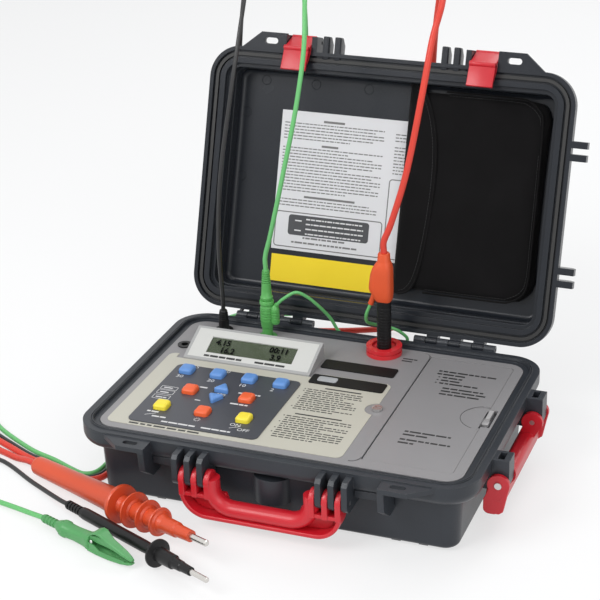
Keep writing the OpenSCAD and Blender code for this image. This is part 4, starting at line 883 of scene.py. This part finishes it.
def pouch_welt():
    """The raised welt round the pouch, and the stitches inside it."""
    line = route([(46, 88.5, 9.6), (104, 88.5, 9.6), (117, 86.5, 9.4), (125.5, 80, 9.2), (129, 70, 9.2),
                  (130, 30, 9.3), (130.4, -30, 9.3), (130.2, -60, 9.2), (126.5, -71.5, 9.2), (116, -78.4, 9.3),
                  (103, -79.6, 9.4), (42, -79.8, 9.5)], 8)
    bm = bmesh.new()
    tube(bm, line, 0.8)
    keep("pouch_welt", bm, NYLON, "lid", 60, LID)
    bm = bmesh.new()
    mid = Vector((75, 3, 0))
    stitches(bm, [mid + (p - mid) * 0.965 + Vector((0, 0, 0.35)) for p in line])
    keep("pouch_welt_stitches", bm, THREAD, "lid", 60, LID)


soft_pouch()
pouch_flap()
pouch_welt()


# Rounded pieces that stand for plainer solids
def key_caps():
    """Pillow-shaped caps; each is drawn in from its foot by an inset at each height."""
    levels = ((56.3, -1.8), (57.6, -1.8), (57.7, 0), (64.2, 0.05), (64.9, 0.25), (65.5, 0.7), (65.9, 1.3),
              (66.1, 2), (66.17, 2.7))
    for node in sorted(n for n in nodes if n.startswith("key_")):
        low, high = (Vector(v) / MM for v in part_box(node))
        x, y = (low.x + high.x) / 2, (low.y + high.y) / 2
        w, d = high.x - low.x - 4, high.y - low.y - 4
        outline, radius = corners(x - w / 2, y - d / 2, w, d), 2.6
        if node in ("key_up", "key_down"):
            outline, radius = [(x - 7, y - 5.2), (x + 7, y - 5.2), (x, y + 7)], 1.4
            if node == "key_down":
                outline = [(2 * x - px, 2 * y - py) for px, py in outline]
        bm = bmesh.new()
        stack(bm, [(z, eased(outline, inset, max(radius - inset * 0.55, 0.25))) for z, inset in levels])
        cone(bm, 20, 3, 3, 3.6, (x, y, 54.5))
        piece = keep(node + "_cap", bm, nodes[node].data.materials[0], node, 50)
        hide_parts(node)


def clip_pieces():
    """The spring clip: sleeve, body, a troughed lower jaw and a saddled upper jaw with teeth."""
    place = Matrix.Translation(CLIP_AT) @ turn(CLIP_HEADING, "Z")
    bm = bmesh.new()
    sleeve = [(0, 0), (0, 2.9)]
    for s in (1.4 + 3.4 * k for k in range(4)):
        sleeve += [(s, 2.9), (s + 0.3, 3.5), (s + 1.8, 3.5), (s + 2.1, 2.9)]
    turned(bm, sleeve + [(15, 3.2), (17.5, 4.4), (21.5, 5.9), (22.4, 6), (22.4, 0)])
    loft(bm, [(21.6, 0, 11.4, 11.2), (23.4, 0, 12, 11.8), (26.6, 0, 12, 11.8), (28, 0, 10.6, 10.6),
              (36, 0.2, 9.8, 10.2), (45, 0.4, 10.2, 11), (50.4, 0.4, 11, 12), (51.2, 0.4, 12, 12.8),
              (53.8, 0.4, 12, 12.6), (54.4, 0, 11, 11)], 0.7)
    # lower jaw: a tapered trough with a round nose
    loft(bm, [(53, -3.9, 11, 2.6), (62, -4.2, 11.2, 2.4), (74, -4.1, 10.2, 2.2), (86, -3.4, 8, 2.2),
              (93, -2.4, 5.4, 2.2), (96, -1.7, 3.4, 1.6)], 0.6, 3)
    for side in (-1, 1):
        loft_wall(bm, [(53, -4, 2.6), (60, -4.2, 2.2), (66, -4.2, -0.6), (80, -3.9, -0.7), (90, -2.9, -0.9)],
                  [side * w for w in (4.7, 4.8, 4.7, 3.9, 2.7)], 0.8)
    for k in range(6):
        cone(bm, 4, 0.8, 0.05, 1.3, (74 + 3.4 * k, 0, -2.6 + 0.22 * k))
    lower = keep("clip_body", bm, CLIP_GREEN, "base", place=place)
    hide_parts("clip_frame")
    bm = bmesh.new()
    # upper jaw: a saddle that flares over the pivot, then a long tapered nose
    loft(bm, [(56, 8.4, 7.4, 1.6), (58.6, 11, 9.6, 1.8), (62.4, 12.6, 10.4, 2), (66.5, 12.5, 9.8, 2.2),
              (70, 10.4, 8.4, 3), (74, 7.6, 7.6, 3.8), (80, 5.6, 7, 4.2), (88, 3.5, 6, 3.6),
              (94, 1.5, 4.4, 2.4), (96.2, 0.7, 3, 1.4)], 0.7)
    loft(bm, [(54.4, 5.4, 5.8, 4.4), (58, 5.6, 5.8, 5.6), (64, 5.8, 5.6, 6.4), (71, 5.8, 5.6, 5.2),
              (78, 4.4, 5, 3)], 0.5)
    for k in range(6):
        cone(bm, 4, 0.05, 0.8, 1.2, (75.7 + 3.4 * k, 0, 2.2 - 0.36 * k))
    jaw = keep("clip_upper_jaw", bm, CLIP_GREEN, "clip_jaw", place=place)
    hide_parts("clip_jaw")
    bm = bmesh.new()
    for side in (-1, 1):
        pin = bmesh.ops.create_uvsphere(bm, u_segments=16, v_segments=8, radius=1.4)["verts"]
        bmesh.ops.scale(bm, verts=pin, vec=(1, 0.5, 1))
        bmesh.ops.translate(bm, verts=pin, vec=(58, side * 5.2, 4.5))
    keep("clip_pivot_heads", bm, STEEL, "base", 60, place)


def mirrored(points):
    return points + [(-x, h) for x, h in reversed(points)]


def carrying_handle():
    """Three fingers at each end, a thin outer rim that sweeps round them and a round bar inside it."""
    y, z = -118, 41.5
    bm = bmesh.new()
    finger = [(y - 7.3, 28), (y + 6, 28)] + arc_points(y, z, 8, -8, 200, 14)
    for side in (-1, 1):
        for x in (41.225, 51.375, 61.525):
            slab(bm, finger, side * x - 2.3, side * x + 2.3, 0.7)
    rim = mirrored([(-62.2, 34), (-62.2, 31)] + arc_points(-42.8, 31.4, 19.2, 180, 270, 12) + [(-20, 12.2)])
    sweep(bm, rim, eased(corners(-7, -1.7, 13.8, 3.4), 0, 1.1, 3), y)
    bar = mirrored([(-39.6, 44), (-39.6, 36.6)] + arc_points(-22.6, 36.6, 17, 180, 270, 12) + [(-8, 19.6)])
    sweep(bm, bar, [(x * 7.1, h * 6.3) for x, h in circle((0, 0), 1, 24)], y - 0.2)
    for side in (-1, 1):
        block(bm, (24, 13, 3), (side * 50.6, y, 29.9))
    # a thin wall behind each bend
    for side in (-1, 1):
        bend = [(-side * x, h) for x, h in arc_points(-42.8, 31.4, 18, 180, 270, 12)]
        outline = [(side * 61, 30), (side * 61, 31)] + bend + [(side * 24, 13.4), (side * 30, 30)]
        draft = bmesh.new()
        stack(draft, [(-5.9, outline), (-3.2, outline)])
        add_turned(bm, draft, ((1, 0, 0, 0), (0, 0, -1, y), (0, 1, 0, 0)))
    piece = keep("front_handle_moulded", bm, RED, "front_handle", 45)
    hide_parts("front_handle")


def grooves(z0, z1, pitch, radius, depth, taper=0.0):
    """Levels of a ribbed stretch: bands with narrower necks between, each thinner by taper for its height."""
    levels = []
    for z in (z0 + k * pitch for k in range(int((z1 - z0) / pitch))):
        for part, r in ((0, radius), (0.6, radius), (0.68, radius - depth), (0.92, radius - depth)):
            levels.append((z + pitch * part, r - taper * (z + pitch * part - z0)))
    return levels


def plugs_and_boot():
    """Plugs, the stacking adapter and the orange boot, each standing in its socket."""
    bm = bmesh.new()
    column(bm, GUARD, [(49, 4.4), (69, 4.4), (70.2, 4.2)] + grooves(70.4, 78.5, 1.9, 4.236, 0.5, 0.07)
           + [(78.6, 3.5), (79.6, 3.1), (80, 2.6)])
    plug = keep("guard_plug", bm, BLACK, "base")
    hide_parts("plug_black")
    bm = bmesh.new()
    column(bm, EARTH, [(49, 4.4), (69.8, 4.4), (70.4, 5.1), (75, 5.5)] + grooves(76, 88, 2.4, 5.75, 0.45)
           + [(88, 5.75), (89.4, 5.1), (90.6, 5.1), (91.2, 5.9), (94, 6), (94.5, 5.7)])
    column(bm, (-67.4, 86.5), [(73.4, 2.6), (74, 3.4)] + grooves(75, 87, 2.4, 3.75, 0.4)
           + [(87, 3.7), (89.4, 3), (90.6, 2)])
    tube(bm, [Vector((-67.6, 86.5, 87.6)), Vector((-67, 86.5, 89.8)), BRANCH_END], 1.9, 16)
    for z in (75.6, 84.4):
        block(bm, (8, 4.6, 3.4), (-70.5, 86.5, z))
    adapter = keep("earth_adapter", bm, GREEN, "base")
    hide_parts("adapter_green")
    bm = bmesh.new()
    column(bm, EARTH, [(94.5, 4.8), (95, 5.2), (97.6, 5.2), (98.2, 4.6), (104, 4.1), (108.8, 3.9)]
           + grooves(109, 121, 2, 3.9, 0.75, 0.06) + [(121, 2.9), (122, 2.5)])
    plug = keep("earth_plug", bm, GREEN, "base")
    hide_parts("plug_green")
    bm = bmesh.new()
    column(bm, LINE, [(49, 5.9), (64, 5.9)] + grooves(64.4, 106, 2.6, 5.95, 0.45)
           + [(106.2, 5.9), (108.6, 5.9)])
    plug = keep("line_plug", bm, BLACK, "base")
    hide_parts("plug_line")
    bm = bmesh.new()
    # height, left and right side, half depth and corner radius of the boot
    x, y = LINE
    stack(bm, [(z, eased(corners(x + x0, y - d, x1 - x0, 2 * d), 0, r)) for z, x0, x1, d, r in (
        (108.6, -6, 6.2, 5.9, 3.5), (109.6, -6.8, 6.6, 6.5, 4), (113.6, -8.8, 6.8, 7, 4),
        (117, -11, 6.9, 7.2, 4), (119.4, -11.8, 6.9, 7.3, 4.2), (124, -11.6, 6.9, 7.2, 4.4),
        (132, -10.6, 6.9, 7, 4.5),
        (137, -9, 6.7, 6.8, 4.5), (140.4, -6.9, 6.2, 6, 4.4), (142.4, -5.5, 5.6, 5.3, 4.2),
        (143.4, -5.1, 5.1, 5, 4.3), (149, -4.8, 4.8, 4.8, 4.2), (150, -4.2, 4.2, 4.2, 3.8))])
    tube(bm, [STUB_END, STUB_END + 17 * STUB], 2.3, 16)
    boot = keep("line_boot", bm, BOOT, "base")
    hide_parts("boot_line")


def lid_latches():
    """Each latch: a top plate, a turned-out finger lip and a slanted front plate between two cheeks."""
    half, lean = 10.9, 29.5
    y, z = -119.5, 13
    for side, name in ((-1, "latch_left"), (1, "latch_right")):
        bm = bmesh.new()
        for outline, edge, radius in (
                ([(-123.5, -6), (-120.2, -6), (-119.8, 16.8), (-122, 16.8), (-123.5, 15)], 0.5, 0.3),
                ([(-123.5, -6), (-110.4, -19.6), (-108.4, -17.4), (-121.5, -3)], 0.5, 0.4),
                (arc_points(-123.4, -6, 2.1, 0, 342, 19), 0.5, 0.1),
                (arc_points(-123, 15, 1.3, 0, 342, 19), 0.4, 0.1)):
            slab(bm, outline, -half, half, edge, radius)
        for x in (-10.2, 10.2):
            slab(bm, [(-122, -4.5), (-111, -17), (-113, -10), (-119.6, 2)], x - 0.7, x + 0.7, 0.2, 0.2)
        for x0, x1 in ((-half, -7.6), (7.6, half)):
            slab(bm, arc_points(y, z, 3.5, 0, 345, 23), x0, x1, 0.4, 0.1)
        place = (OPEN @ Matrix.Translation((side * 80.1, y, z)) @ turn(lean, "X")
                 @ Matrix.Translation((0, -y, -z)))
        plate = keep(name + "_plate", bm, RED, name, place=place)
        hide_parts(name)


def lid_details():
    """Round-topped ribs beside the latches, and the ring marks of the mould on the lid's floor."""
    bm = bmesh.new()
    rib = [(-106, 14), (-119, 14), (-125.2, 8), (-125.2, 0.8), (-106, 0.8)]
    for side in (-1, 1):
        for x in (46.3, 56.45):
            slab(bm, rib, side * x - 2.9, side * x + 2.9, 1.4, 0.6)
    keep("lid_rib_caps", bm, SHADED_LID_PLASTIC, "lid", place=OPEN)
    bm = bmesh.new()
    for x, y in ((-117.5, 84.5), (-72, 84.5), (-24.5, 84.5), (-133, 56), (-133, 0.5)):
        ring = circle((x, y), 4)
        tube(bm, [Vector((*p, 0.05)) for p in ring + ring[:1]], 0.3, 6)
    keep("lid_mould_marks", bm, SHADED_LID_PLASTIC, "lid", place=LID)


def probe_ring():
    """The dark ring in the red probe's groove."""
    axis = toward(RED_AT, RED_HEADING, RED_LEAN, 1) - Vector(RED_AT)
    lie = Vector((1, 0, 0)).rotation_difference(axis).to_matrix().to_4x4()
    bm = bmesh.new()
    turned(bm, [(102.3, 0), (102.3, 10.9), (102.6, 11.3), (103.7, 11.3), (103.9, 10.9), (103.9, 0)])
    keep("probe_ring", bm, BLACK, "base", 40, Matrix.Translation(RED_AT) @ lie)


def cover_dent_painted_shade_line():
    """A fine black line of painted shade along the edge of the cover's finger dent."""
    bm = bmesh.new()
    tube(bm, [Vector((x, y, 60.68)) for x, y in arc_points(136, 3, 18.9, 108, 252, 40)], 0.17, 6)
    keep("cover_dent_painted_shade_line", bm, BLACK, "accessory_cover")


def side_cheeks():
    """Full-width cheeks over the ends of the side handle."""
    outline = arc_points(164, 42.9, 8.3, -10, 190, 16) + [(153.4, 26), (153.2, 20.4), (155, 18.6), (165, 18.6),
                                                          (168, 21)]
    bm = bmesh.new()
    for y0, y1 in ((-62.45, -59.1), (59.1, 62.45)):
        slab(bm, outline, y0, y1, 0.6, 0.5)
    bm.transform(Matrix(((0, 1, 0, 0), (1, 0, 0, 0), (0, 0, 1, 0), (0, 0, 0, 1))))
    face_out(bm)
    keep("side_handle_cheeks", bm, RED, "side_handle")


key_caps()
clip_pieces()
carrying_handle()
plugs_and_boot()
lid_latches()
lid_details()
probe_ring()
cover_dent_painted_shade_line()
side_cheeks()


# Stage, light and world
FLOOR_HALF, FLOOR_DROP, FLOOR_GLOW, SKY_STRENGTH = 4, 0.0004, 0.64, 0.42


def pale_floor():
    """A pale floor that camera and gloss see brighter, without hiding the object's shadow."""
    bm = bmesh.new()
    bmesh.ops.create_grid(bm, x_segments=2, y_segments=2, size=FLOOR_HALF)
    bmesh.ops.translate(bm, verts=bm.verts, vec=(0, 0, -FLOOR_DROP))
    mesh = mesh_from("floor", bm)
    floor = shown("floor", mesh)
    material, tree, surface = shader("pale_floor")
    feed(tree, surface, {"Base Color": (0.93, 0.93, 0.93, 1), "Roughness": 0.9, "Specular IOR Level": 0.1})
    glow = add(tree, "Emission", {"Color": (1, 1, 1, 1)})
    ray = add(tree, "LightPath").outputs
    seen = maths(tree, "MAXIMUM", ray["Is Camera Ray"], ray["Is Glossy Ray"])
    share = maths(tree, "MULTIPLY", seen, FLOOR_GLOW)
    blend = add(tree, "MixShader", {"Fac": share, 1: surface.outputs[0], 2: glow.outputs[0]})
    feed(tree, tree.nodes["Material Output"], {"Surface": blend.outputs[0]})
    mesh.materials.append(material)


def studio_world():
    """White for camera, gloss and glass; a soft dim sky as light."""
    world = bpy.data.worlds.new("studio")
    bpy.context.scene.world = world
    world.use_nodes = True
    tree = world.node_tree
    light = tree.nodes["Background"]
    feed(tree, light, {"Color": (0.93, 0.96, 1, 1), "Strength": SKY_STRENGTH})
    white = add(tree, "Background", {"Color": (1, 1, 1, 1), "Strength": 1})
    ray = add(tree, "LightPath").outputs
    through = maths(tree, "MAXIMUM", ray["Is Camera Ray"], ray["Is Transmission Ray"])
    seen = maths(tree, "MAXIMUM", through, ray["Is Glossy Ray"])
    mix = add(tree, "MixShader", {"Fac": seen, 1: light.outputs[0], 2: white.outputs[0]})
    feed(tree, tree.nodes["World Output"], {"Surface": mix.outputs[0]})


def lamps():
    """Four soft square lamps aimed at the instrument: place and size in metres, power in watts."""
    aim_at = Vector((0, 0.03, 0.12))
    for name, place, size, power in (
            ("key", (-0.8, -1.2, 1.35), 0.9, 18), ("fill", (1.2, -1.2, 0.9), 1.2, 9),
            ("rim", (0.3, 1.4, 1.5), 1.0, 11), ("top", (0.1, 0.1, 1.8), 1.2, 5)):
        lamp = bpy.data.lights.new(name, "AREA")
        lamp.size = size
        lamp.energy = power
        holder = shown(name, lamp)
        aim = (aim_at - Vector(place)).to_track_quat("-Z", "Y")
        holder.matrix_world = Matrix.Translation(place) @ aim.to_matrix().to_4x4()


pale_floor()
studio_world()
lamps()
bpy.context.scene.view_settings.view_transform = "Standard"
